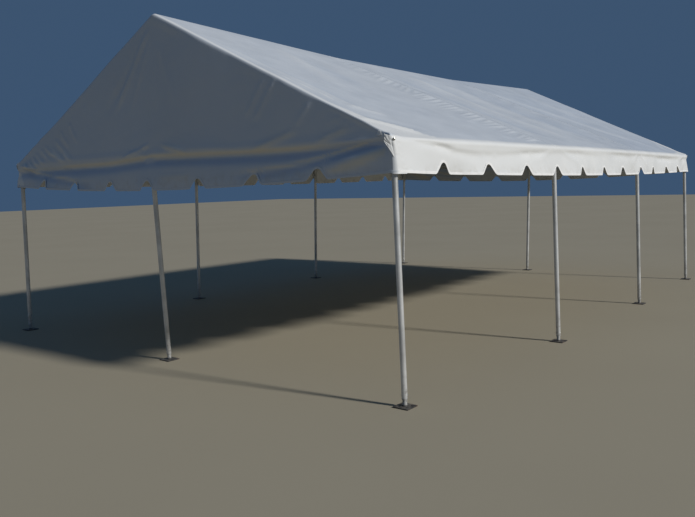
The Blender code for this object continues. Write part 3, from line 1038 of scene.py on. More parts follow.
@dataclass
class Canopy:
    """The one-piece vinyl top: two slopes, two side valances and two gables, with its trimmings."""

    frame: Skeleton
    envelope: Envelope
    hem: Hem = field(default_factory=Hem)
    lobes_per_bay: int = 4
    side_steps: int = 18
    side_notch_steps: int = 6
    gable_lobes: int = 8
    gable_steps: int = 27
    gable_notch_steps: int = 9
    slope_steps: int = 104
    end_fine: Numbers = (0.0, 0.007, 0.014, 0.021, 0.028)
    eave_fine: Numbers = (0.0, 0.006, 0.012, 0.018, 0.024, 0.031, 0.040)
    ridge_fine: Numbers = (0.03, 0.02, 0.01, 0.0)
    drops: Numbers = (0.0, 0.008, 0.016, 0.024, 0.032, 0.041, 0.051, 0.062, 0.075, 0.090,
                                0.108, 0.130, 0.156, 0.186, 0.218, 0.250, 0.280)
    flat_size: Pair = (7.4, 12.7)
    lap_half: float = 0.032
    lap_proud: float = 0.0022
    corner_proud: float = 0.0024
    ear_thickness: float = 0.0016
    grommet_at: tuple[int, int] = (11, 12)
    pucker_span: Pair = (-2.32, -1.46)
    groove: Line = Line(
        (-2.9, -2.4, -2.05, -1.41, -0.68, -0.03, 0.20, 0.78, 1.10, 2.14, 3.06),
        (2.20, 2.175, 2.165, 2.165, 2.175, 2.185, 2.17, 2.14, 2.14, 2.14, 2.135))
    second: Line = Line((-3.0, -2.79, -2.49, -2.22, -1.95, -1.59, -1.2),
                        (2.196, 2.176, 2.118, 2.068, 2.020, 1.990, 1.975))
    third: Line = Line((1.0, 1.37, 1.81, 2.17, 2.57, 2.85, 3.0),
                       (1.940, 1.948, 2.002, 2.048, 2.086, 2.175, 2.205))
    crease: Line = Line(
        (-4.55, -4.40, -4.27, -4.11, -3.95, -3.78, -3.66, -3.27, -2.5, -1.5, 0.0),
        (2.262, 2.248, 2.235, 2.209, 2.187, 2.160, 2.131, 2.112, 2.130, 2.155, 2.160))
    pull: Pair = (0.035, 0.020)
    ear_behind: float = 0.112
    ear_stand: float = 0.034
    ear_along: float = 0.050
    ear_top: float = 2.232
    ear_depth: float = 0.164
    ear_climb: float = 0.122
    small_ear: float = 0.5

    def roof_folds(self) -> list[Fold]:
        """List the folds of a slope, over distance along the tent and out from the ridge."""
        folds = [
            Fold((-4.46, 0.5), (-4.13, 2.75), 0.055, 0.014, fade=0.3),
            Fold((-4.34, 0.7), (-4.02, 2.55), 0.070, -0.014, fade=0.3),
            Fold((-4.42, 1.75), (-4.31, 2.34), 0.030, 0.012, 0.0, 0.25),
            Fold((-4.33, 2.31), (-3.90, 2.54), 0.032, 0.012, 0.0, 0.25),
            Fold((-4.56, 2.66), (-3.92, 3.01), 0.030, 0.016, -0.04, 0.15, 0.0, 0.3),
            Fold((-4.44, 2.55), (-3.75, 2.90), 0.055, -0.011, -0.04, 0.3),
            Fold((-1.74, -0.02), (-1.62, 0.26), 0.024, 0.014, fade=0.3),
            Fold((-3.03, 0.15), (-3.55, 1.9), 0.12, 0.014, fade=0.4),
            Fold((-2.70, 0.2), (-2.95, 1.7), 0.16, -0.012, fade=0.4),
            Fold((-1.08, 0.25), (-0.92, 2.95), 0.15, -0.024, -0.06, 0.2),
            Fold((-0.45, 0.2), (-0.45, 3.05), 0.12, 0.024, -0.10, 0.2),
            Fold((-0.08, 0.2), (-0.25, 2.7), 0.14, -0.021, 0.05, 0.25),
            Fold((0.35, 0.3), (0.30, 2.9), 0.16, 0.013, 0.05, 0.3),
            Fold((0.85, 0.2), (0.95, 2.9), 0.16, -0.018, 0.05, 0.3),
            Fold((1.48, 0.1), (1.50, 3.05), 0.09, 0.014, 0.0, 0.15),
            Fold((1.45, 0.25), (3.42, 2.95), 0.10, 0.022, 0.10, 0.25),
            Fold((1.85, 0.35), (3.75, 2.85), 0.16, -0.020, 0.10, 0.3),
            Fold((1.60, 0.8), (2.55, 2.95), 0.12, -0.014, 0.08, 0.3),
            Fold((3.30, 0.3), (3.90, 2.2), 0.18, 0.012, 0.0, 0.4),
            Fold((4.36, 0.5), (4.15, 2.8), 0.06, 0.012, 0.0, 0.3),
            Fold((4.22, 0.6), (3.95, 2.8), 0.09, -0.012, 0.0, 0.3),
            Fold((4.42, 2.55), (3.60, 2.97), 0.05, 0.012, 0.04, 0.35),
        ]
        folds += pucker_row((-1.55, 0.18), (-1.58, 1.35), 12, (-0.62, 0.30), 0.0110, 0.017, 3,
                            0.15, 0.8)
        folds += pucker_row((-1.57, 1.38), (-1.59, 3.00), 19, (-0.72, 0.15), 0.0115, 0.017, 4,
                            0.15, 0.8)
        folds += pucker_row((1.46, 0.6), (1.46, 2.9), 9, (-0.30, 0.10), 0.0050, 0.034, 5)
        folds += pucker_row((-1.45, 0.5), (-1.45, 2.9), 8, (0.26, 0.08), 0.0045, 0.034, 6)
        folds += pucker_row((-4.2, 2.93), (4.2, 2.98), 40, (0.02, -0.10), 0.0030, 0.032, 7)
        return folds

    def gable_folds(self) -> list[Fold]:
        """List the folds of a gable, over distance to its left and height over the ground."""
        folds = [
            Fold((0.02, 3.60), (0.66, 2.72), 0.032, 0.018, fade=0.2),
            Fold((0.00, 3.52), (0.40, 2.62), 0.036, 0.009, fade=0.3),
            Fold((0.12, 3.40), (0.92, 2.66), 0.060, -0.010, fade=0.3),
            Fold((-0.02, 3.55), (-0.12, 2.60), 0.034, 0.009, fade=0.3),
            Fold((-0.05, 3.50), (-0.42, 2.70), 0.036, 0.008, fade=0.3),
            Fold((-1.76, 2.86), (-1.50, 2.46), 0.024, 0.013, fade=0.25),
            Fold((-1.64, 2.89), (-1.38, 2.50), 0.024, 0.012, fade=0.25),
            Fold((-2.20, 2.62), (-1.98, 2.36), 0.026, 0.009, fade=0.3),
            Fold((-0.04, 2.355), (0.34, 2.230), 0.022, 0.013, fade=0.3),
            Fold((0.18, 2.300), (0.52, 2.200), 0.020, 0.012, fade=0.3),
            Fold((-0.15, 2.30), (-1.25, 2.25), 0.060, 0.010, 0.0, 0.3, -0.4),
            Fold((0.03, 2.33), (0.03, 2.20), 0.060, -0.010, fade=0.4),
            Fold((-3.00, 2.155), (-2.30, 2.030), 0.055, 0.022, 0.0, 0.25, -0.5),
            Fold((2.99, 2.215), (2.30, 2.095), 0.035, 0.016, -0.03, 0.25, 0.5),
        ]
        folds += self.light_creases() + self.warm_creases()
        folds += pucker_row((-2.80, 2.33), (-2.3, 2.58), 6, (0.07, -0.13), 0.0060, 0.020, 12)
        return folds

    def light_creases(self) -> list[Fold]:
        """List a gable's thin creases that catch light: a fan at its left."""
        rows = ((1.72, 2.71, 1.44, 2.41), (2.06, 2.54, 1.54, 2.23), (2.13, 2.43, 1.70, 2.225),
                (2.42, 2.43, 2.10, 2.245), (2.54, 2.375, 2.24, 2.205), (2.74, 2.30, 2.48, 2.155),
                (2.84, 2.265, 2.66, 2.19), (1.83, 2.35, 1.58, 2.24), (2.13, 2.375, 1.74, 2.222),
                (2.30, 2.46, 1.98, 2.30), (1.92, 2.62, 1.66, 2.40), (2.64, 2.34, 2.38, 2.19))
        return [Fold(row[:2], row[2:], 0.021, 0.013, 0.02, 0.2, tail=0.45) for row in rows]

    def warm_creases(self) -> list[Fold]:
        """List a gable's broader creases that look down on the ground; the tint paints warm bounced
        light on them.
        """
        return [Fold((-0.16, 2.340), (-0.66, 2.205), 0.026, 0.014, fade=0.3),
                Fold((-1.45, 2.19), (-2.10, 2.370), 0.032, 0.014, fade=0.3),
                Fold((-2.25, 2.235), (-2.64, 2.350), 0.030, 0.013, fade=0.3),
                Fold((-0.10, 1.972), (-0.72, 1.990), 0.020, 0.010, 0.0, 0.3)]

    def side_folds(self) -> list[Fold]:
        """List the folds of a side valance, over distance along the tent and height."""
        return [
            Fold((-4.30, 2.185), (-3.40, 2.055), 0.042, 0.009, 0.01, 0.3),
            Fold((-3.66, 2.02), (-3.62, 1.93), 0.018, -0.006, 0.0, 0.3),
            Fold((-2.50, 2.13), (-1.60, 2.17), 0.028, -0.008, 0.0, 0.3),
            Fold((-1.40, 2.19), (-0.75, 2.02), 0.026, 0.010, 0.0, 0.3),
            Fold((-1.62, 2.19), (-2.10, 2.04), 0.026, 0.009, 0.0, 0.3),
            Fold((0.30, 2.16), (1.30, 2.14), 0.030, -0.008, 0.0, 0.3),
            Fold((1.55, 2.21), (2.00, 1.96), 0.024, 0.014, 0.0, 0.25),
            Fold((1.48, 2.21), (1.12, 2.00), 0.024, 0.010, 0.0, 0.25),
            Fold((2.40, 2.15), (3.60, 2.12), 0.030, -0.010, 0.0, 0.3),
            Fold((4.42, 2.24), (3.80, 2.08), 0.026, 0.014, -0.01, 0.3),
            Fold((4.45, 2.15), (4.10, 1.97), 0.026, 0.010, 0.0, 0.3),
        ] + pucker_row((-4.55, 2.20), (-4.52, 1.98), 6, (0.07, 0.0), 0.0025, 0.010, 21)

    def roof_relief(self, x: Array, out: Array, side: Side) -> Array:
        """Return how far a slope stands out of its smooth skin; it never presses on a pipe."""
        u = -side.value * x
        lift = sum(fold.lift(u, out) for fold in self.roof_folds())
        lift += 0.0025 * ripple(u, out, 31 + side.value, 1.1)
        lift += 0.0004 * ripple(u, out, 41 + side.value, 0.35)
        lift += 0.004 * np.exp(-((x - self.frame.stations[1]) / 0.08) ** 2)
        half = self.frame.half_at(x)
        to_rafter = np.abs(x[:, None] - self.frame.stations).min(axis=1)
        gap = np.minimum(np.minimum(to_rafter, np.abs(out)), np.abs(half - out))
        return np.where(lift < 0, lift * ease((gap - 0.03) / 0.08), lift)

    def gable_relief(self, y: Array, z: Array, end: End) -> Array:
        """Return how far a gable stands out: a roll over the rail, a tuck under it, and a flare."""
        u = -end.value * y
        lift = sum(fold.lift(u, z) for fold in self.gable_folds())
        line = self.groove.at(u)
        lift += self.tuck(z, line, 0.032, 0.026 + 0.006 * ripple(u, 0 * u, 51, 1.4), u, 52)
        for line, fade in self.minor_grooves(u):
            width = np.where(z > line, 0.022, 0.045)
            lift -= 0.020 * fade * np.exp(-((z - line) / width) ** 2)
        slack = np.exp(-((np.abs(u) - 2.72) / 0.22) ** 2) * ease((2.26 - z) / 0.06)
        lift += 0.018 * slack + 0.010 * ease((u - 2.90) / 0.16) * ease((2.20 - z) / 0.25)
        calm = ease((z - 2.3) / 0.2)
        lift += calm * (0.0035 * ripple(u, z, 53 + end.value, 0.9)
                        + 0.0007 * ripple(u, z, 55 + end.value, 0.25))
        to_leg = np.minimum(np.abs(y), np.abs(np.abs(y) - self.frame.half_width))
        to_rafter = self.envelope.roof_height(0 * y + self.frame.half_length, np.abs(y)) - z
        lift = np.where(lift < 0, lift * ease((to_rafter - 0.05) / 0.08 + (z < 2.2)), lift)
        return np.maximum(lift, self.limit(z, to_leg, 0.0))

    def minor_grooves(self, u: Array) -> list[tuple[Array, Array]]:
        """Return the height and the strength of the two grooves under a gable's main one."""
        ends = ease((2.98 - np.abs(u)) / 0.30)
        return [(self.second.at(u), ease((-1.15 - u) / 0.5) * ends),
                (self.third.at(u), ease((u - 0.95) / 0.5) * ends)]

    def side_relief(self, x: Array, z: Array, side: Side) -> Array:
        """Return how far a side valance stands out: a roll, a shallow tuck and a waving flare.

        Formula: the tuck starts as a crease at the slack corner's eave, runs down from there and
        then follows the rail; the roll only starts behind it.
        """
        u = -side.value * x
        lift = sum(fold.lift(u, z) for fold in self.side_folds())
        away = ease((u + 3.4) / 0.9)
        line = self.crease.at(u) + 0.010 * away * ripple(u, 0 * u, 61, 1.6)
        depth = 0.010 + 0.004 * away * ripple(u, 0 * u, 62, 1.1)
        depth = (depth + 0.013 * np.exp(-((u + 3.9) / 0.5) ** 2)) * ease((u + 4.44) / 0.22)
        flare = 0.018 + 0.006 * ripple(u, 0 * u, 63, 0.9)
        lift += self.tuck(z, line, depth, flare, u, 64, 0.008 * ease((u + 4.5) / 0.5))
        to_leg = np.abs(x[:, None] - self.frame.stations).min(axis=1)
        return np.maximum(lift, self.limit(z, to_leg, self.frame.side_splay))

    def tuck(self, z: Array, line: Array, depth: Array | float, flare: Array, u: Array,
             seed: int, over: Array | float = 0.008) -> Array:
        """Return the valance's cross-section.

        Formula: a roll above the rail, less a bell-shaped groove that is narrow above its line and
        wide below it, plus a flare that grows towards the hem and waves along it.
        """
        above = z > line
        width = np.where(above, 0.025, 0.060)
        groove = depth * np.exp(-((z - line) / width) ** 2)
        roll = over * np.exp(-((z - self.frame.eave - 0.025) / 0.04) ** 2)
        down = np.clip((line - z) / (line - self.hem.height), 0, 1.2)
        waves = 0.008 * ripple(u, 0 * u, seed, 0.75) + 0.003 * ripple(u, 0 * u, seed + 9, 0.3)
        return roll - groove + flare * down ** 1.3 + waves * down ** 1.6

    def limit(self, z: Array, to_leg: Array, splay: float) -> Array:
        """Return the lowest relief that keeps clear of the rail and of the legs."""
        room = self.envelope.standoff - self.frame.pipe_radius - 0.002
        under = ease((self.frame.eave - 0.025 - z) / 0.025)
        free = -room - 0.022 * under
        lean = splay * np.maximum(self.frame.eave - z, 0) / self.frame.eave
        held = -np.maximum(room - lean, 0.001)
        near = 1 - ease((to_leg - 0.06) / 0.08)
        return free * (1 - near) + held * near

    def drape(self, points: Array) -> tuple[Array, Array]:
        """Wrap sharp points round the tent and add the folds of the face that each lies on.

        Args:
            points: n x 3, on the sharp faces.

        Returns:
            The points on the cloth and the smooth skin's outward normals.
        """
        skin, shares, normals = self.envelope.wrap(points)
        x, y, z = skin.T
        relief = np.zeros(len(skin))
        for number, side in enumerate(Side):
            at = shares[:, number] > 0
            relief[at] += shares[at, number] * self.roof_relief(x[at], side.value * y[at], side)
            at = shares[:, number + 2] > 0
            relief[at] += shares[at, number + 2] * self.side_relief(x[at], z[at], side)
        for number, end in enumerate(End):
            at = shares[:, number + 4] > 0
            relief[at] += shares[at, number + 4] * self.gable_relief(y[at], z[at], end)
        rake = 4 * (shares[:, 0] + shares[:, 1]) * (shares[:, 4] + shares[:, 5])
        low = ease((np.abs(y) - 1.9) / 1.1) * ease((3.07 - np.abs(y)) / 0.05)
        ruffle = 1 + 0.25 * ripple(y, 0 * y, 71, 0.22)
        relief += rake * (0.002 + 0.016 * low * ruffle)
        cloth = skin + relief[:, None] * normals + self.corner_pull(x, y, z)
        return self.rest_on_pipes(cloth), normals

    def rest_on_pipes(self, points: Array) -> Array:
        """Move the points that come too near a pipe straight out from its axis, onto its skin."""
        reach = self.frame.pipe_radius + 0.0028
        for run in self.frame.pipes():
            along = run.direction
            step = points - run.start
            step -= np.clip(step @ along, 0, run.length)[:, None] * along
            distance = np.maximum(np.linalg.norm(step, axis=1), 1e-9)
            points = points + step * (np.maximum(reach / distance, 1) - 1)[:, None]
        return points

    def corner_pull(self, x: Array, y: Array, z: Array) -> Array:
        """Return how a corner's slack cloth is pulled, out past the gable and a little up.

        Formula: a push that falls off softly with the distance from the corner on both faces; it
        is full just under the rake and dies out down the corner. Every other corner hangs neater.
        """
        edge = self.frame.half_width + self.envelope.standoff
        corner = self.envelope.tip
        back = ease(1 - (corner - np.abs(x)) / 0.17)
        inward = ease(1 - (edge - np.abs(y)) / 0.10)
        down = 0.3 * ease((z - 1.96) / 0.15) + 0.7 * ease((z - 2.08) / 0.11)
        slack = np.where(np.sign(x) * np.sign(y) > 0, 1.0, 0.3)
        push = slack * back * inward * down * ease((2.37 - z) / 0.10)
        along, up = self.pull
        return np.stack((np.sign(x) * along * push, 0 * push, up * push), -1)

    def columns(self) -> Array:
        """Return the slopes' columns along the tent, closer together at the gables.

        Formula: over a side's first and last lobe, the step grows evenly from half the middle's
        to one and a half times it.
        """
        fine = self.envelope.tip - np.array(self.end_fine)
        count = self.frame.bays * self.lobes_per_bay * self.side_steps
        middle = np.linspace(-self.frame.half_length, self.frame.half_length, count + 1)
        share = np.linspace(0, 1, self.side_steps + 1)
        grown = (middle[self.side_steps] - middle[0]) * (share + share ** 2) / 2
        middle[:self.side_steps + 1] = -self.frame.half_length + grown
        middle[-self.side_steps - 1:] = (self.frame.half_length - grown)[::-1]
        return np.concatenate((-fine, middle, fine[::-1]))

    def rows(self, edge: Array | float) -> Array:
        """Return the slopes' rows, as distances out from the ridge, for each eave edge."""
        edge = np.atleast_1d(edge)
        fine = edge[None] - np.array(self.eave_fine)[:, None]
        share = np.linspace(0, 1, self.slope_steps + 1)[1:, None]
        top = self.ridge_fine[0] + 0.01
        middle = fine[-1:] * (1 - share) + top * share
        ridge = np.array(self.ridge_fine)[:, None]
        ridge = np.broadcast_to(ridge, (len(ridge), len(edge)))
        return np.concatenate((fine, middle, ridge))

    def on_slope(self, side: Side, x: Array, out: Array) -> tuple[Array, Array]:
        """Return a sharp slope's points and uvs, for one x a column and rows of distances out."""
        x = np.broadcast_to(x, out.shape)
        z = self.envelope.roof_height(x, out)
        return np.stack((x, side.value * out, z), -1), np.stack((x, out * 1.11), -1)

    def add_slope(self, shell: Shell, side: Side) -> None:
        """Add a slope: its grid, and over the row of puckers a patch with twice the rows.

        Where a plain cell meets the patch, three triangles take up the patch's extra point.
        """
        x = self.columns()
        out = self.rows(self.envelope.side_out(x))
        low, high = self.pucker_span
        inside = np.flatnonzero((-side.value * x > low) & (-side.value * x < high))
        first, last = int(inside[0]), int(inside[-1])
        keep = np.ones((len(out) - 1, len(x) - 1), dtype=bool)
        keep[:, first - 1:last + 1] = False
        shell.add_grid(*self.on_slope(side, x, out), keep=keep)
        dense = np.empty((2 * len(out) - 1, last + 1 - first))
        dense[::2] = out[:, first:last + 1]
        dense[1::2] = (dense[:-1:2] + dense[2::2]) / 2
        shell.add_grid(*self.on_slope(side, x[first:last + 1], dense))
        count = len(out)
        row = np.arange(count - 1)
        extra = count + 2 * row
        fans = np.concatenate([np.stack(corners, -1) for corners in (
            (row, extra, extra + 1), (row, extra + 1, row + 1), (row + 1, extra + 1, extra + 2))])
        for plain_column, dense_column in ((first - 1, 0), (last + 1, -1)):
            rough = self.on_slope(side, x[plain_column], out[:, plain_column])
            at = first if dense_column == 0 else last
            smooth = self.on_slope(side, x[at], dense[:, dense_column])
            points, uvs = (np.concatenate(pair) for pair in zip(rough, smooth))
            shell.add_faces(points, uvs, np.zeros((0, 4), dtype=int), fans)

    def side_valance(self, side: Side) -> tuple[Array, Array]:
        """Return a side valance's grid, eave to hem, and its uvs.

        Formula: the drops are shared out down to the hem; towards its slack corner the hem's
        notches are drawn a little nearer the corner.
        """
        top = self.columns()
        lobes = self.frame.bays * self.lobes_per_bay
        hem = self.hem.row(self.frame.half_length, lobes, self.side_steps, self.side_notch_steps,
                           self.hem.side_sag)
        u = -side.value * hem[:, 0]
        drawn = 0.075 * ease((-u - 2.2) / 1.4) * ease((u + self.frame.half_length) / 0.55)
        count = len(self.end_fine)
        low = top.copy()
        low[count:-count] = hem[:, 0] + side.value * drawn
        height = np.full(len(top), self.hem.height)
        height[count:-count] = hem[:, 1]
        high = self.envelope.roof_height(top, self.envelope.side_out(top))
        share = np.array(self.drops)[:, None] / self.drops[-1]
        x = top + (low - top) * ease(share)
        z = high + (height - high) * share
        y = side.value * self.envelope.side_out(x)
        return np.stack((x, y, z), -1), np.stack((x, 3.5 + self.frame.eave - z), -1)

    def gable_valance(self, end: End) -> tuple[Array, Array]:
        """Return a gable valance's grid, eave level to hem, and its uvs."""
        edge = self.envelope.edge
        half = self.rows(edge)[:, 0]
        top = np.concatenate((half, -half[-2::-1]))
        fine = len(self.eave_fine) - 1
        hem = self.hem.row(half[fine], self.gable_lobes, self.gable_steps,
                           self.gable_notch_steps, self.hem.gable_sag)
        low, height = top.copy(), np.full(len(top), self.hem.height)
        low[fine:-fine] = -hem[:, 0]
        height[fine:-fine] = hem[:, 1]
        corner = self.envelope.tip
        high = float(self.envelope.roof_height(np.array(corner), np.array(edge)))
        share = np.array(self.drops)[:, None] / self.drops[-1]
        y = top + (low - top) * ease(share)
        z = high + (height - high) * share
        x = end.value * self.envelope.end_out(y, z)
        return np.stack((x, y, z), -1), np.stack((y, z), -1)

    def gable_faces(self, end: End, side: Side) -> tuple[Array, Array, Array, Array]:
        """Return half a gable over the eave level.

        Column j and level k share the slope's own rows, so point (j, k) exists where k <= j and
        the rake is the diagonal.

        Returns:
            Points, uvs, quads and the triangles along the rake.
        """
        edge = self.envelope.edge
        corner = self.envelope.tip
        out = self.rows(edge)[:, 0]
        level = self.envelope.roof_height(np.full(len(out), corner), out)
        count = len(out)
        j, k = np.meshgrid(np.arange(count), np.arange(count), indexing="ij")
        y, z = side.value * out[j], level[k]
        x = end.value * self.envelope.end_out(y, z)
        index = j * count + k
        a, b, c, d = index[:-1, :-1], index[1:, :-1], index[1:, 1:], index[:-1, 1:]
        inside = (j > k)[:-1, :-1]
        quads = np.stack((a, b, c, d), -1)[inside]
        rake = np.arange(count - 1)
        triangles = np.stack((a[rake, rake], b[rake, rake], c[rake, rake]), -1)
        points = np.stack((x, y, z), -1).reshape(-1, 3)
        return points, points[:, 1:], quads, triangles

    def weathering_and_light(self, points: Array) -> Array:
        """Return how bright the vinyl is marked, from 0 to 1: weather stains with painted light and
        shade.

        Formula: near 1 on the side valances, falling off along each; low on the gables, which are
        painted in shade, lower still on the bands under their grooves where cool sky light is
        painted, with a painted lit patch at one hem corner and painted highlights on the light
        creases. On the slopes it is 1 on a strip along each rake that widens downwards, on a second
        thin line beside it that paints a fold's highlight, and below a line that rises from the
        eave to the gable.
        Elsewhere up the slopes it follows the folds: painted highlights on their crests and painted
        shade in their troughs, with more painted shade over the far half. The slack corners' strips
        are wider than the neat ones'.
        """
        x, y, z = points.T
        _, shares, _ = self.envelope.wrap(points)
        sides, ends = shares[:, 2] + shares[:, 3], shares[:, 4] + shares[:, 5]
        u, out = -np.sign(y) * x, np.abs(y)
        slack = np.where(u < 0, 1.0, 0.45)
        inside = self.frame.half_length + 0.02 - np.abs(x)
        wide = slack * np.interp(out, (1.0, 1.9, 2.34, 2.44, 2.53, 2.65),
                                 (0.06, 0.06, 0.08, 0.15, 0.18, 0.24))
        strip = 1 - ease((inside / wide - 0.6) / 0.4)
        # A painted highlight along a fold beside the near rake.
        beside = (Fold((-4.45, 1.55), (-4.31, 2.34), 0.022, 0.85, 0.0, 0.2),
                  Fold((-4.33, 2.31), (-3.88, 2.55), 0.026, 0.8, 0.0, 0.3))
        line = sum(fold.lift(u, out) for fold in beside)
        rise = np.interp(inside, (0.09, 0.2, 0.33, 0.41, 0.48, 0.55, 0.65, 0.75),
                         (0.45, 0.37, 0.30, 0.25, 0.18, 0.10, 0.03, 0.0))
        corner = 1 - ease((self.frame.half_at(x) - out - slack ** 2 * rise) / 0.03)
        lift = sum(fold.lift(u, out) for fold in self.roof_folds())
        # Painted light on the slopes: fold crests lighter and troughs darker, with painted shade
        # over the far half.
        shade = 0.27 - 0.25 * ease((u + 0.2) / 2.2)
        folds = np.clip(shade + 13 * lift, 0, 0.55)
        slope = np.maximum.reduce((0.95 * strip, line, corner, folds))
        slope *= 1 - ease((ends - 0.35) / 0.4)
        v = np.sign(x) * -y
        # A painted lit patch at one hem corner of each gable.
        flap = ease((np.interp(z, (1.96, 2.14), (0.0, 0.19)) + 2.82 - v) / -0.02) * (z < 2.14)
        # Painted highlights on the thin light creases.
        creases = 0.8 * sum(fold.lift(v, z) for fold in self.light_creases()) / 0.013
        # The gables are painted in shade, darker still on the bands where cool sky light is
        # painted.
        gable = np.maximum.reduce((0.40 - 0.30 * self.cool(v, z), flap, creases))
        # Each side valance turns darker along its length.
        flat = sides * (1 - 0.45 * ease((u + 0.5) / 3.5)) + ends * gable
        return np.clip(np.maximum(flat, (1 - sides - ends) * slope + sides * corner), 0, 1)

    def cool(self, v: Array, z: Array) -> Array:
        """Return how much of a gable's cloth under each groove turns up to the sky, 0 to 1; there
        cool sky light and deeper shade are painted.
        """
        under = np.interp(v, (-2.6, -1.8), (0.008, 0.045))
        main = self.groove.at(v) - under
        rows = [np.exp(-((z - main) / np.interp(v, (-2.6, -1.8), (0.026, 0.038))) ** 2)]
        rows += [fade * np.exp(-((z - line + 0.016) / 0.026) ** 2)
                 for line, fade in self.minor_grooves(v)]
        return np.clip(sum(rows), 0, 1)

    def dust(self, points: Array) -> Array:
        """Return the gables' painted light tint: above 0 for painted warm light bounced up from the
        ground, below 0 for painted cool sky light on the bands under it.
        """
        x, y, z = points.T
        v = np.sign(x) * -y
        main = self.groove.at(v)
        ends = ease((2.5 + v) / 0.5) * ease((2.0 - v) / 0.4)
        bands = 0.60 * ends * np.exp(-((z - main - 0.034) / 0.022) ** 2)
        for line, fade in self.minor_grooves(v):
            bands += 0.55 * fade * np.exp(-((z - line - 0.030) / 0.017) ** 2)
        middle = np.interp(v, (-3.0, -2.7, -2.45), (2.135, 2.04, 1.985))
        half = np.interp(v, (-3.0, -2.7, -2.45), (0.030, 0.048, 0.024))
        bands += 0.62 * ease((-2.3 - v) / 0.2) * np.exp(-((z - middle) / half) ** 4)
        bands += 0.4 * sum(fold.lift(v, z - 0.004) for fold in self.warm_creases()) / 0.013
        bands = np.clip(bands, 0, 0.7) - 0.60 * self.cool(v, z) * (bands < 0.3)
        flat = (np.abs(x) > self.frame.half_length + 0.015) * (z < 2.6)
        return bands * flat * ease((3.0 - np.abs(y)) / 0.04)

    def mark(self, mesh: bpy.types.Mesh, clean: bool = False) -> None:
        """Write on a mesh's points their marks: weather stains with painted light and shade, and
        the painted warm and cool light tint.
        """
        points = np.empty(len(mesh.vertices) * 3, dtype=np.float32)
        mesh.vertices.foreach_get("co", points)
        points = points.reshape(-1, 3).astype(float)
        values = {CLEAN_AND_LIT_MARK: self.weathering_and_light, LIGHT_TINT_MARK: self.dust}
        for name, rule in values.items():
            value = np.full(len(points), float(name == CLEAN_AND_LIT_MARK)) if clean else rule(points)
            layer = mesh.attributes.new(name, "FLOAT", "POINT")
            layer.data.foreach_set("value", value.astype(np.float32))

    def build(self, shop: Workshop) -> bpy.types.Object:
        """Make the welded sheet out of its six faces."""
        shell = Shell()
        for side in Side:
            self.add_slope(shell, side)
            shell.add_grid(*self.side_valance(side))
        for end in End:
            shell.add_grid(*self.gable_valance(end))
            for side in Side:
                shell.add_faces(*self.gable_faces(end, side))
        shell.move(lambda points: self.drape(points)[0])
        mesh = shell.mesh("canopy")
        face_outwards(mesh)
        self.mark(mesh)
        nodes = [f"canopy_{kind}_{side.word}" for kind in ("roof", "valance") for side in Side]
        nodes += [f"canopy_gable_{end.word}" for end in End]
        return shop.add("canopy", mesh, "vinyl", Slot.VINYL, nodes, None)

    def hem_loop(self) -> tuple[Array, Array]:
        """Return the hem round the whole tent, as points on the cloth and outward normals."""
        right = self.side_valance(Side.RIGHT)[0][-1]
        left = self.side_valance(Side.LEFT)[0][-1]
        front = self.gable_valance(End.FRONT)[0][-1]
        rear = self.gable_valance(End.REAR)[0][-1]
        loop = np.concatenate((right[:-1], rear[::-1][:-1], left[::-1][:-1], front[:-1]))
        return self.drape(loop)

    def build_binding(self, shop: Workshop) -> bpy.types.Object:
        """Sew the binding: a folded tape carried round the hem, half over the cloth's edge."""
        path, normals = self.hem_loop()
        outline = strap_outline(0.0034, 0.022) - [0, 0.0085]
        shell = Shell()
        shell.add_grid(*sweep(path, normals, outline, closed=True))
        return shop.add("hem_binding", shell.mesh("hem_binding"), "binding", Slot.VINYL)

    def strip(self, sharp: Array, uvs: Array, proud: float) -> tuple[Array, Array]:
        """Lay a strip of a second cloth on the canopy.

        Args:
            sharp: rows x columns x 3, on the sharp faces; the first axis runs along the strip.
            uvs: rows x columns x 2 in metres.
            proud: how far its face lies above the canopy's.

        Returns:
            A closed grid: the face, then the back a little inside the canopy, and its uvs.
        """
        rows, columns = sharp.shape[:2]
        cloth, normals = self.drape(sharp.reshape(-1, 3))
        cloth, normals = cloth.reshape(sharp.shape), normals.reshape(sharp.shape)
        height = np.full(columns, proud)
        height[[0, -1]] = proud * 0.35
        face = cloth + normals * height[None, :, None]
        back = (cloth - normals * 0.0006)[:, ::-1]
        ring = np.concatenate((face, back, face[:, :1]), axis=1)
        marks = np.concatenate((uvs, uvs[:, ::-1], uvs[:, :1]), axis=1)
        caps = [np.broadcast_to(ring[at].mean(axis=0), ring[:1].shape) for at in (0, -1)]
        return (np.concatenate((caps[0], ring, caps[1])),
                np.concatenate((marks[:1], marks, marks[-1:])))

    def build_seams(self, shop: Workshop) -> bpy.types.Object:
        """Weld the lap strips: over the two inner rafter pairs and round the four corners."""
        shell = Shell()
        for station in range(1, self.frame.bays):
            x = self.frame.stations[station] + np.linspace(-self.lap_half, self.lap_half, 7)
            for side in Side:
                out = self.rows(self.envelope.side_out(x))
                wide = np.broadcast_to(x, out.shape)
                sharp, _ = self.on_slope(side, x, out)
                shell.add_grid(*self.strip(sharp, np.stack((out, wide), -1), self.lap_proud))
        for end, side in CORNERS:
            shell.add_grid(*self.corner_strip(end, side))
        mesh = shell.mesh("lap_seams")
        self.mark(mesh)
        return shop.add("lap_seams", mesh, "vinyl", Slot.VINYL)

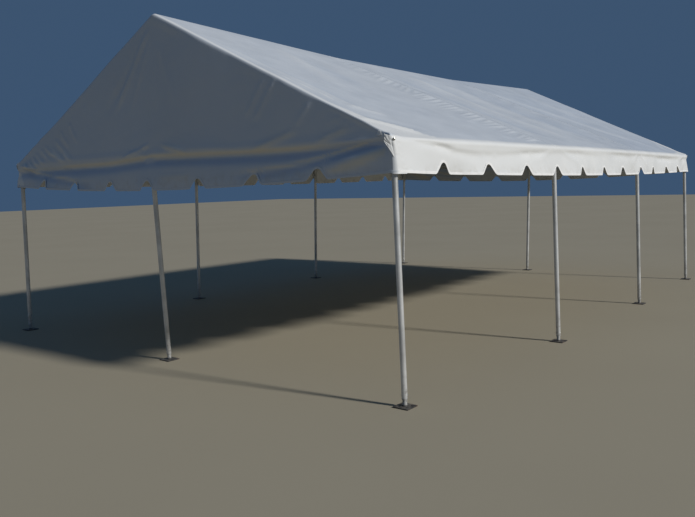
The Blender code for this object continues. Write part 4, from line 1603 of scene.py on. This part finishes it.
    def corner_strip(self, end: End, side: Side) -> tuple[Array, Array]:
        """Return the strip that wraps a corner: from the gable round onto the side valance."""
        edge = self.envelope.edge
        corner = self.envelope.tip
        on_gable = np.linspace(-0.020, -0.004, 5)
        on_side = np.concatenate(([0.0], np.linspace(0.004, 0.108, 13)))
        run = np.concatenate((on_gable, on_side))
        y = side.value * (edge + np.minimum(run, 0))
        x = end.value * (corner - np.maximum(run, 0))
        z = np.linspace(2.228, self.hem.height - 0.009, 36)
        wide, x, y, tall = np.broadcast_arrays(run, x, y, z[:, None])
        sharp = np.stack((x, y, tall), -1)
        return self.strip(sharp, np.stack((tall, wide), -1), self.corner_proud)

    def ear(self, end: End, side: Side) -> tuple[Array, Array]:
        """Return an ear: the corner's flap, from the side valance round onto the gable.

        Formula: s runs from behind the corner (negative) over it (0) to the free edge (1), and t
        runs down from the rake. Behind the corner it lies on the cloth, and its foot there sinks
        just under it. Past the corner the flap goes on outwards first and then bends along the
        gable; its lower edge climbs away from the corner, a shallow hollow runs under the grommet
        and the free edge is a little ragged.
        """
        corner = self.envelope.tip
        edge = self.frame.half_width + self.envelope.standoff
        size = 1.0 if end.value * side.value > 0 else self.small_ear
        s, t = np.meshgrid(np.linspace(-0.5, 1, 61), np.linspace(0, 1, 57))
        onto = np.maximum(s, 0)
        stand = size * self.ear_stand * (1.3 * onto - 0.3 * onto ** 2)
        ragged = 0.003 * onto ** 4 * ripple(t, 0 * t, 91, 0.18, 9)
        along = size * (self.ear_along * onto ** 1.25 + ragged)
        back = corner + self.ear_behind * size * np.minimum(s, 0)
        top = self.envelope.roof_height(back, edge - along) - size * 0.004 * ease(onto / 0.9)
        foot = self.ear_top - size * (self.ear_depth - self.ear_climb * onto)
        height = top - t * (top - foot)
        under = np.minimum(height, self.envelope.roof_height(back, edge + 0 * s) - 0.006)
        sharp = np.stack((end.value * back, side.value * edge + 0 * s, under), -1).reshape(-1, 3)
        cloth, normals = self.drape(sharp)
        hollow = 0.003 * np.exp(-((t - 0.42 - 0.25 * s) / 0.09) ** 2) * ease(s / 0.3)
        ruffle = 0.0012 * ripple(t, 0.5 * s, 81 + end.value, 0.3, 7) * onto - hollow
        curl = 0.006 * np.exp(-((t - 0.97) / 0.05) ** 2) * onto
        shift = np.stack((end.value * (stand + size * (0.75 * ruffle + curl)),
                          side.value * (0.66 * size * ruffle - along), height - under), -1)
        over = 0.0026 - 0.0045 * ease((t - 0.8) / 0.2) * ease((0.05 - s) / 0.2)
        cloth = cloth.reshape(shift.shape) + normals.reshape(shift.shape) * over[..., None]
        straight = cloth[:1] + t[..., None] * (cloth[-1:] - cloth[:1])
        cloth += (straight - cloth) * ease(onto / 0.4)[..., None] + shift
        return cloth, np.stack((self.ear_behind * s, 0.15 * t), -1)

    def tuft(self, end: End, side: Side) -> tuple[Array, Array]:
        """Return the small loose tuft that hangs from the rake beside a slack corner's ear."""
        corner = self.envelope.tip
        s, t = np.meshgrid(np.linspace(-1, 1, 11), np.linspace(0, 1, 13))
        out = 2.925 + 0.024 * s * (0.5 + 0.5 * t) - 0.006 * t
        high = self.envelope.roof_height(0 * t + corner, out)
        long = 0.046 - 0.010 * s - 0.006 * np.abs(s)
        sharp = np.stack((0 * t + end.value * corner, side.value * out, high - long * t), -1)
        cloth, _ = self.drape(sharp.reshape(-1, 3))
        stand = 0.004 + 0.006 * t + 0.002 * np.sin(5 * s) * t
        shift = np.stack((end.value * stand, 0 * t, 0 * t), -1)
        return cloth.reshape(sharp.shape) + shift, np.stack((0.02 * s, 0.05 * t), -1)

    def build_ears(self, shop: Workshop) -> bpy.types.Object:
        """Wrap each corner's flap over the gable, with a loose tuft beside the slack ones."""
        shell = Shell()
        for end, side in CORNERS:
            shell.add_grid(*self.ear(end, side))
            if end.value * side.value > 0:
                shell.add_grid(*self.tuft(end, side))
        mesh = shell.mesh("corner_ears")
        # Ears and tufts are marked fully bright: no painted shade and no painted tint.
        self.mark(mesh, clean=True)
        piece = shop.add("corner_ears", mesh, "vinyl", Slot.VINYL, crease=None)
        cloth = piece.modifiers.new("cloth", "SOLIDIFY")
        cloth.thickness = self.ear_thickness
        cloth.offset = 0.0
        return piece

    def build_grommets(self, shop: Workshop) -> bpy.types.Object:
        """Press a grommet into each corner's ear, just under the rake.

        Its floor, a disc painted near-black as the shadow inside the hole, carries a UV of one; the
        ring carries zero.
        """
        shell = Shell()
        ring = [(0.0060, 0.0010), (0.0062, 0.0034), (0.0078, 0.0044), (0.0105, 0.0040),
                (0.0122, 0.0022), (0.0124, -0.0010), (0.0060, -0.0010), (0.0060, 0.0010)]
        hole = [(0.0, 0.0012), (0.0061, 0.0012), (0.0061, -0.0008), (0.0, -0.0008)]
        row, column = self.grommet_at
        for end, side in CORNERS:
            flap = self.ear(end, side)[0]
            place = flap[row, column]
            normal = unit(np.cross(flap[row, column + 3] - place, flap[row + 3, column] - place))
            normal *= np.sign(normal @ (0, side.value, 0))
            shell.add_grid(lathe(ring, place + normal * 0.002, normal, 28))
            floor = lathe(hole, place + normal * 0.002, normal, 28)
            shell.add_grid(floor, np.ones((*floor.shape[:2], 2)))
        return shop.add("corner_grommets", shell.mesh("corner_grommets"), "zinc", Slot.FITTING)


def face_outwards(mesh: bpy.types.Mesh) -> None:
    """Turn an open sheet's faces over where they mostly look down."""
    normals = np.empty(len(mesh.polygons) * 3, dtype=np.float32)
    mesh.polygons.foreach_get("normal", normals)
    if normals.reshape(-1, 3)[:, 2].sum() < 0:
        mesh.flip_normals()


# The frame

@dataclass
class Pipework:
    """The legs, rails, rafters and ridge pipes: real tube with a wall and broken edges."""

    frame: Skeleton
    wall: float = 0.0032
    lip: float = 0.0009
    sides: int = 36

    def tube(self, run: Run) -> Array:
        """Return a tube's grid: one closed outline of its wall, turned about its axis."""
        start, end = self.frame.cuts(run)
        outer, inner, lip = self.frame.pipe_radius, self.frame.pipe_radius - self.wall, self.lip
        low, high = start, run.length - end
        middle = np.linspace(low + 0.02, high - 0.02, 7)
        outline = [(inner + lip, low), (outer - lip, low), (outer, low + lip)]
        outline += [(outer, float(h)) for h in middle]
        outline += [(outer, high - lip), (outer - lip, high), (inner + lip, high),
                    (inner, high - lip), (inner, low + lip), (inner + lip, low)]
        return lathe(outline, run.start, run.direction, self.sides)

    def build(self, shop: Workshop) -> None:
        """Make a tube for each pipe of the frame."""
        for run in self.frame.legs() + self.frame.pipes():
            shell = Shell()
            shell.add_grid(self.tube(run))
            name = "tube_" + run.name
            shop.add(name, shell.mesh(name), "tube", Slot.PIPE, [run.name], 30.0)


@dataclass
class Fittings:
    """The welded fittings: a ball, stub arms with beads round them, and stops for the pipes."""

    frame: Skeleton
    hub: float = 0.0256
    arm: float = 0.0240
    bead: float = 0.0028
    spigot: float = 0.0208
    spigot_length: float = 0.06
    shaft: float = 0.0235
    inside_hub: float = 0.004
    seat_gap: float = 0.0003
    sides: int = 32

    def ball(self, centre: Array) -> Array:
        """Return the hub, as a half circle turned about the vertical."""
        angle = np.linspace(0, math.pi, 17)
        profile = list(zip(self.hub * np.sin(angle), self.hub * np.cos(angle)))
        return lathe(profile, centre, spot(0, 0, 1), self.sides)

    def stub(self, centre: Array, direction: Array, shoulder: float) -> Array:
        """Return an arm from the hub to the pipe's end, with its spigot inside the pipe."""
        tip = shoulder + self.spigot_length
        outline = [(0, tip), (self.spigot - 0.002, tip), (self.spigot, tip - 0.002),
                   (self.spigot, shoulder), (self.arm - 0.0008, shoulder),
                   (self.arm, shoulder - 0.0008), (self.arm, self.inside_hub),
                   (0, self.inside_hub)]
        return lathe(outline, centre, direction, self.sides)

    def weld(self, centre: Array, direction: Array, distance: float) -> Array:
        """Return a weld bead round an arm: a small ring with close waves."""
        angle = np.linspace(0, 2 * math.pi, 9)
        outline = list(zip(self.arm + self.bead * np.cos(angle) * 0.8,
                           distance + self.bead * np.sin(angle)))
        return lathe(outline, centre, direction, 48, 0.00035, 20)

    def add_joint(self, shell: Shell, centre: Array, arms: Sequence[Array]) -> None:
        """Add a ball and its arms to a shell."""
        shell.add_grid(self.ball(centre))
        for direction in arms:
            shoulder = self.frame.reach(centre, direction) - self.seat_gap
            shell.add_grid(self.stub(centre, direction, shoulder))
            shell.add_grid(self.weld(centre, direction, min(0.034, shoulder - 0.006)))

    def build(self, shop: Workshop) -> None:
        """Make the corner fittings, eave tees, ridge fittings and king posts."""
        places = []
        for side in Side:
            for station in range(self.frame.bays + 1):
                inner = 0 < station < self.frame.bays
                kind = "eave_tee" if inner else "corner_fitting"
                node = f"{kind}_{side.word}_{station + 1}"
                places.append((node, self.frame.eave_point(station, side)))
        for station in range(1, self.frame.bays):
            places.append((f"ridge_fitting_{station + 1}", self.frame.ridge_point(station)))
        for node, centre in places:
            shell = Shell()
            self.add_joint(shell, centre, self.frame.arms_at(centre))
            name = "weldment_" + node
            shop.add(name, shell.mesh(name), "galvanised", Slot.FITTING, [node])
        for post in self.frame.posts():
            self.build_post(shop, post)

    def build_post(self, shop: Workshop, post: Run) -> None:
        """Make a king post with the tee at its foot and the crown at its head."""
        shell = Shell()
        low, high = self.inside_hub, post.length - self.inside_hub
        shaft = [(0, low), (self.shaft, low), (self.shaft, high), (0, high)]
        shell.add_grid(lathe(shaft, post.start, post.direction, self.sides))
        for centre, along in ((post.start, post.direction), (post.end, -post.direction)):
            arms = [arm for arm in self.frame.arms_at(centre) if arm @ along < 0.999]
            self.add_joint(shell, centre, arms)
            shell.add_grid(self.weld(centre, along, 0.036))
        name = "weldment_" + post.name
        shop.add(name, shell.mesh(name), "galvanised", Slot.FITTING, [post.name])


@dataclass
class Feet:
    """The base plates: square steel with four stake holes, a leaning stub, welds and a collar."""

    frame: Skeleton
    side: float = 0.152
    thickness: float = 0.0095
    edge: float = 0.0012
    hole: float = 0.0075
    stub: float = 0.020
    collar: float = 0.0254
    collar_height: float = 0.008
    stub_inside: float = 0.10
    seat_gap: float = 0.0003

    def plate(self, centre: Array) -> list[tuple[Array, Array | None]]:
        """Return the plate's grids: four quarters, each a ring between a hole and a square.

        Formula: a ring point is the hole's circle blended into the quarter's square outline,
        (cos a, sin a) / max(|cos a|, |sin a|); the top drops by the bevel near the plate's edge.
        """
        quarter, grids = self.side / 4, []
        angle = np.linspace(0, 2 * math.pi, 41)
        circle = np.stack((np.cos(angle), np.sin(angle)), -1)
        square = circle / np.abs(circle).max(axis=1, keepdims=True)
        inner = self.edge * 1.1 / (quarter - self.hole)
        share = np.array([0.0, inner, 0.35, 0.7, 1 - inner, 1.0])[:, None, None]
        for sx in (-1, 1):
            for sy in (-1, 1):
                middle = np.array((sx * quarter, sy * quarter))
                flat = middle + (1 - share) * self.hole * circle + share * quarter * square
                rim = self.side / 2 - np.abs(flat).max(axis=-1)
                hole = np.linalg.norm(flat - middle, axis=-1) - self.hole
                bevel = np.maximum(self.edge - np.minimum(rim, hole), 0)
                top = np.concatenate((flat, (self.thickness - bevel)[..., None]), -1)
                bottom = top * [1, 1, 0]
                outer = np.isclose(rim[-1], 0, atol=SAME_POINT)
                wall = np.stack((top[-1], bottom[-1]))
                grids += [(top, None), (bottom[::-1], None), (np.stack((top[0], bottom[0])), None),
                          (wall, (outer[:-1] & outer[1:])[None])]
        return [(grid + centre, keep) for grid, keep in grids]

    def post(self, run: Run) -> list[Array]:
        """Return the stub with its collar and the fillet weld at the plate."""
        ground, up = run.end, -run.direction
        seat = self.frame.leg_start - self.seat_gap
        below, tip = seat - self.collar_height, self.frame.leg_start + self.stub_inside
        outline = [(0, tip), (self.stub - 0.002, tip), (self.stub, tip - 0.003), (self.stub, seat),
                   (self.collar - 0.0008, seat), (self.collar, seat - 0.0008),
                   (self.collar, below + 0.001), (self.collar - 0.001, below),
                   (self.stub, below), (self.stub, 0.006), (0, 0.006)]
        base = self.thickness / up[2]
        fillet = [(self.stub - 0.001, base + 0.0065), (self.stub + 0.0022, base + 0.0048),
                  (self.stub + 0.0046, base + 0.0020), (self.stub + 0.0056, base - 0.0012),
                  (self.stub - 0.001, base - 0.0012), (self.stub - 0.001, base + 0.0065)]
        return [lathe(outline, ground, up, 36), lathe(fillet, ground, up, 60, 0.0004, 26)]

    def build(self, shop: Workshop) -> None:
        """Make the ten feet."""
        for run in self.frame.legs():
            shell = Shell()
            for grid, keep in self.plate(run.end):
                shell.add_grid(grid, keep=keep)
            shell.add_grids(self.post(run))
            node = run.name.replace("leg_", "foot_")
            name = "base_" + node
            shop.add(name, shell.mesh(name), "foot_paint", Slot.FOOT, [node])


FOOT_PIN_WAYS = {"leg_right_1": (0.626, -0.780, 0), "leg_right_2": (-0.626, 0.780, 0)}
OTHER_FOOT_PINS = (1, 0, 0)


@dataclass
class HitchPins:
    """The spring pins that hold each pipe on its spigot: a headed pin and a wire bail."""

    frame: Skeleton
    shank: float = 0.0032
    inset: float = 0.026
    bail: float = 0.0011

    def pin(self, centre: Array, along: Array, out: Array) -> list[Array]:
        """Return a pin and its bail, which goes round the side that looks into the tent.

        Args:
            centre: the point on the pipe's axis that the pin passes through.
            along: the pipe's direction.
            out: unit direction, square to the pipe, that the head looks in.
        """
        radius, shank = self.frame.pipe_radius, self.shank
        outline = [(0, radius + 0.0062), (shank * 1.3, radius + 0.0060),
                   (shank * 1.75, radius + 0.0045), (shank * 1.75, radius + 0.0008),
                   (shank, radius + 0.0004), (shank, -radius - 0.004),
                   (shank * 0.5, -radius - 0.0062), (0, -radius - 0.0065)]
        body = lathe(outline, centre, out, 16)
        angle = np.linspace(0, math.pi, 19)
        side = np.cross(out, along)
        side *= np.sign(side @ (spot(0, 0, self.frame.eave / 2) - centre))
        arch = radius + 0.0060
        path = (centre + out * (arch * np.cos(angle))[:, None]
                + side * (arch * np.sin(angle))[:, None])
        wire, _ = sweep(path, along, round_outline(self.bail, 8))
        return [body, wire]

    def build(self, shop: Workshop) -> None:
        """Make a pin at each foot and at both ends of every pipe."""
        shell = Shell()
        for run in self.frame.legs():
            up = -run.direction
            out = square_to(spot(*FOOT_PIN_WAYS.get(run.name, OTHER_FOOT_PINS)), up)
            foot = run.end + up * (self.frame.leg_start + self.inset)
            shell.add_grids(self.pin(foot, up, out))
            corner = run.name.endswith(("_1", "_4"))
            middle = run.name.endswith("middle")
            inward = spot(0 if middle else -np.sign(run.start[0]),
                          np.sign(run.start[1]) if corner else float(middle), 0)
            start, _ = self.frame.cuts(run)
            head = run.start - up * (start + self.inset)
            shell.add_grids(self.pin(head, up, square_to(inward, up)))
        for run in self.frame.pipes():
            start, end = self.frame.cuts(run)
            axis = run.direction
            out = square_to(self.face_of(run), axis)
            for distance in (start + self.inset, run.length - end - self.inset):
                shell.add_grids(self.pin(run.start + axis * distance, axis, out))
        shop.add("hitch_pins", shell.mesh("hitch_pins"), "zinc", Slot.FITTING)

    def face_of(self, run: Run) -> Array:
        """Return the direction of a pipe's pins, whose two ends both keep clear of the cloth."""
        middle = (run.start + run.end) / 2
        if run.name.startswith("ridge"):
            return spot(0, -1, 0)
        if run.name.startswith("eave"):
            return spot(0, -np.sign(middle[1]), 1)
        return spot(-np.sign(middle[0]), 0, 1)


@dataclass
class Straps:
    """Webbing inside the valance: a band round each leg's head, with a buckle and a loose tail."""

    frame: Skeleton
    height: float = 2.075
    thick: float = 0.0022
    wide: float = 0.038
    buckle_half: Pair = (0.026, 0.019)

    def hold(self, run: Run) -> tuple[Array, Array]:
        """Return where a band goes round a leg's axis, and the direction into the tent there."""
        down = run.direction
        centre = run.start + down * ((run.start[2] - self.height) / -down[2])
        inward = unit(spot(-run.start[0] * 0.2, -run.start[1], 0) + spot(1e-3, 0, 0))
        if "middle" in run.name:
            inward = unit(spot(-run.start[0], 0.0, 0))
        return centre, square_to(inward, down)

    def band(self, run: Run) -> list[tuple[Array, Array]]:
        """Return the band round a leg and the tail that hangs from its buckle."""
        down = run.direction
        centre, inward = self.hold(run)
        radius = self.frame.pipe_radius + self.thick / 2 + 0.0006
        u, v = across(down)
        angle = np.arange(40) * 2 * math.pi / 40
        rim = np.cos(angle)[:, None] * u + np.sin(angle)[:, None] * v
        loop = sweep(centre + radius * rim, rim, strap_outline(self.thick, self.wide), closed=True)
        share = np.linspace(0, 1, 16)
        away = 0.0042 + 0.010 * share ** 1.5 + 0.002 * np.sin(5 * share)
        tail = (centre + down * (0.005 + 0.15 * share)[:, None]
                + inward * (radius + away)[:, None])
        hang = sweep(tail, inward, strap_outline(self.thick * 0.8, self.wide * 0.62))
        return [loop, hang]

    def buckle(self, run: Run) -> list[Array]:
        """Return the ladder buckle: a rounded frame and its cross bar."""
        down = run.direction
        centre, inward = self.hold(run)
        side = np.cross(down, inward)
        angle = np.arange(32) * 2 * math.pi / 32
        power = 2 / 5
        across_half, along_half = self.buckle_half
        wide = across_half * np.sign(np.cos(angle)) * np.abs(np.cos(angle)) ** power
        tall = along_half * np.sign(np.sin(angle)) * np.abs(np.sin(angle)) ** power
        middle = centre + inward * (self.frame.pipe_radius + self.thick + 0.0036)
        path = middle + wide[:, None] * side + tall[:, None] * down
        rim, _ = sweep(path, inward, round_outline(0.0026, 8), closed=True)
        bar = middle + np.linspace(-across_half, across_half, 5)[:, None] * side
        cross, _ = sweep(bar, inward, round_outline(0.0022, 8))
        return [rim, cross]

    def build(self, shop: Workshop) -> None:
        """Make the bands as one piece and the buckles as another."""
        bands, buckles = Shell(), Shell()
        for run in self.frame.legs():
            for grid, uvs in self.band(run):
                bands.add_grid(grid, uvs)
            buckles.add_grids(self.buckle(run))
        shop.add("leg_straps", bands.mesh("leg_straps"), "strap", Slot.VINYL)
        shop.add("strap_buckles", buckles.mesh("strap_buckles"), "zinc", Slot.FITTING)


# The studio

@dataclass
class Studio:
    """A plain pale floor, a soft sky, a low key light and the camera of the picture."""

    focal: float = 718.94
    picture_width: float = 695.0
    position: Triple = (-9.4041, -6.4122, 1.8612)
    yaw: float = math.radians(51.267)
    pitch: float = math.radians(5.830)
    roll: float = math.radians(-1.486)
    floor_half: float = 70.0
    floor_colour: Triple = (0.37, 0.33, 0.245)
    floor_level: float = -0.0005
    sky: Triple = (0.046, 0.088, 0.160)
    sky_strength: float = 1.0
    key_from: Triple = (0.135, -0.86, 0.50)
    key_strength: float = 3.0
    key_angle: float = math.radians(5)
    key_colour: Triple = (1.0, 0.975, 0.94)

    def add_camera(self) -> None:
        """Stand the camera where the picture was taken from.

        Formula: yaw is measured from +Y towards +X, pitch is downwards, and roll turns the
        picture about the view direction; the lens is the focal length in pixels over the width.
        """
        level = spot(math.cos(self.yaw), -math.sin(self.yaw), 0)
        ahead = spot(math.sin(self.yaw) * math.cos(self.pitch),
                     math.cos(self.yaw) * math.cos(self.pitch), -math.sin(self.pitch))
        above = np.cross(level, ahead)
        right = level * math.cos(self.roll) + above * math.sin(self.roll)
        up = above * math.cos(self.roll) - level * math.sin(self.roll)
        data = bpy.data.cameras.new("picture_camera")
        data.sensor_fit = "HORIZONTAL"
        data.sensor_width = 36.0
        data.lens = self.focal / self.picture_width * data.sensor_width
        data.clip_end = 400.0
        camera = bpy.data.objects.new("picture_camera", data)
        turn = np.eye(4)
        turn[:3, :3] = np.stack((right, up, -ahead), -1)
        turn[:3, 3] = self.position
        camera.matrix_world = Matrix(turn.tolist())
        bpy.context.scene.collection.objects.link(camera)
        bpy.context.scene.camera = camera

    def add_floor(self) -> None:
        """Lay the floor: a square grid just under the feet."""
        line = np.linspace(-self.floor_half, self.floor_half, 9)
        x, y = np.meshgrid(line, line)
        shell = Shell()
        shell.add_grid(np.stack((x, y, np.full(x.shape, self.floor_level)), -1))
        mesh = shell.mesh("studio_floor", closed=False)
        graph = Graph("studio_floor")
        clouds = graph.noise(graph.place, 0.25, 3.0)
        colour = graph.blend(graph.ramp(clouds, 0.3, 0.7), self.floor_colour,
                             tuple(0.96 * part for part in self.floor_colour))
        rough = graph.ramp(clouds, 0.3, 0.7, 0.85, 0.92)
        graph.shader.inputs["Specular IOR Level"].default_value = 0.2
        fine = graph.bump(graph.noise(graph.place, 60.0, 3.0), 0.0005, 0.2)
        mesh.materials.append(graph.finish(colour, rough, fine))
        floor = bpy.data.objects.new("studio_floor", mesh)
        bpy.context.scene.collection.objects.link(floor)

    def add_light(self) -> None:
        """Set the sky, the low key light and the plain colour transform."""
        world = bpy.data.worlds.new("studio_sky")
        world.use_nodes = True
        background = world.node_tree.nodes["Background"]
        background.inputs["Color"].default_value = (*self.sky, 1.0)
        background.inputs["Strength"].default_value = self.sky_strength
        bpy.context.scene.world = world
        data = bpy.data.lights.new("key", "SUN")
        data.energy = self.key_strength
        data.angle = self.key_angle
        data.color = self.key_colour
        key = bpy.data.objects.new("key", data)
        away = unit(spot(*self.key_from))
        u, v = across(away)
        turn = np.eye(4)
        turn[:3, :3] = np.stack((u, v, away), -1)
        key.matrix_world = Matrix(turn.tolist())
        bpy.context.scene.collection.objects.link(key)
        bpy.context.scene.view_settings.view_transform = "Standard"

    def build(self) -> None:
        """Set up camera, floor and light."""
        self.add_camera()
        self.add_floor()
        self.add_light()


def plain(corners: Iterable[Iterable[float]]) -> list[list[float]]:
    """Return a box's corners as plain lists of numbers."""
    return [[float(value) for value in corner] for corner in corners]


def main() -> None:
    """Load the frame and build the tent's sub-assemblies in order."""
    logging.basicConfig(level=logging.INFO, format="%(name)s: %(message)s")
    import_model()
    frame, shop = Skeleton(), Workshop()
    Studio().build()
    canopy = Canopy(frame, Envelope(frame))
    cloth = canopy.build(shop)
    trims = [canopy.build_binding(shop), canopy.build_seams(shop), canopy.build_ears(shop),
             canopy.build_grommets(shop)]
    for trade in (Pipework, Fittings, Feet, HitchPins, Straps):
        trade(frame).build(shop)
    rests = [f"tube_{run.name}" for run in frame.pipes()]
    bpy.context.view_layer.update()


if __name__ == "__main__":
    main()
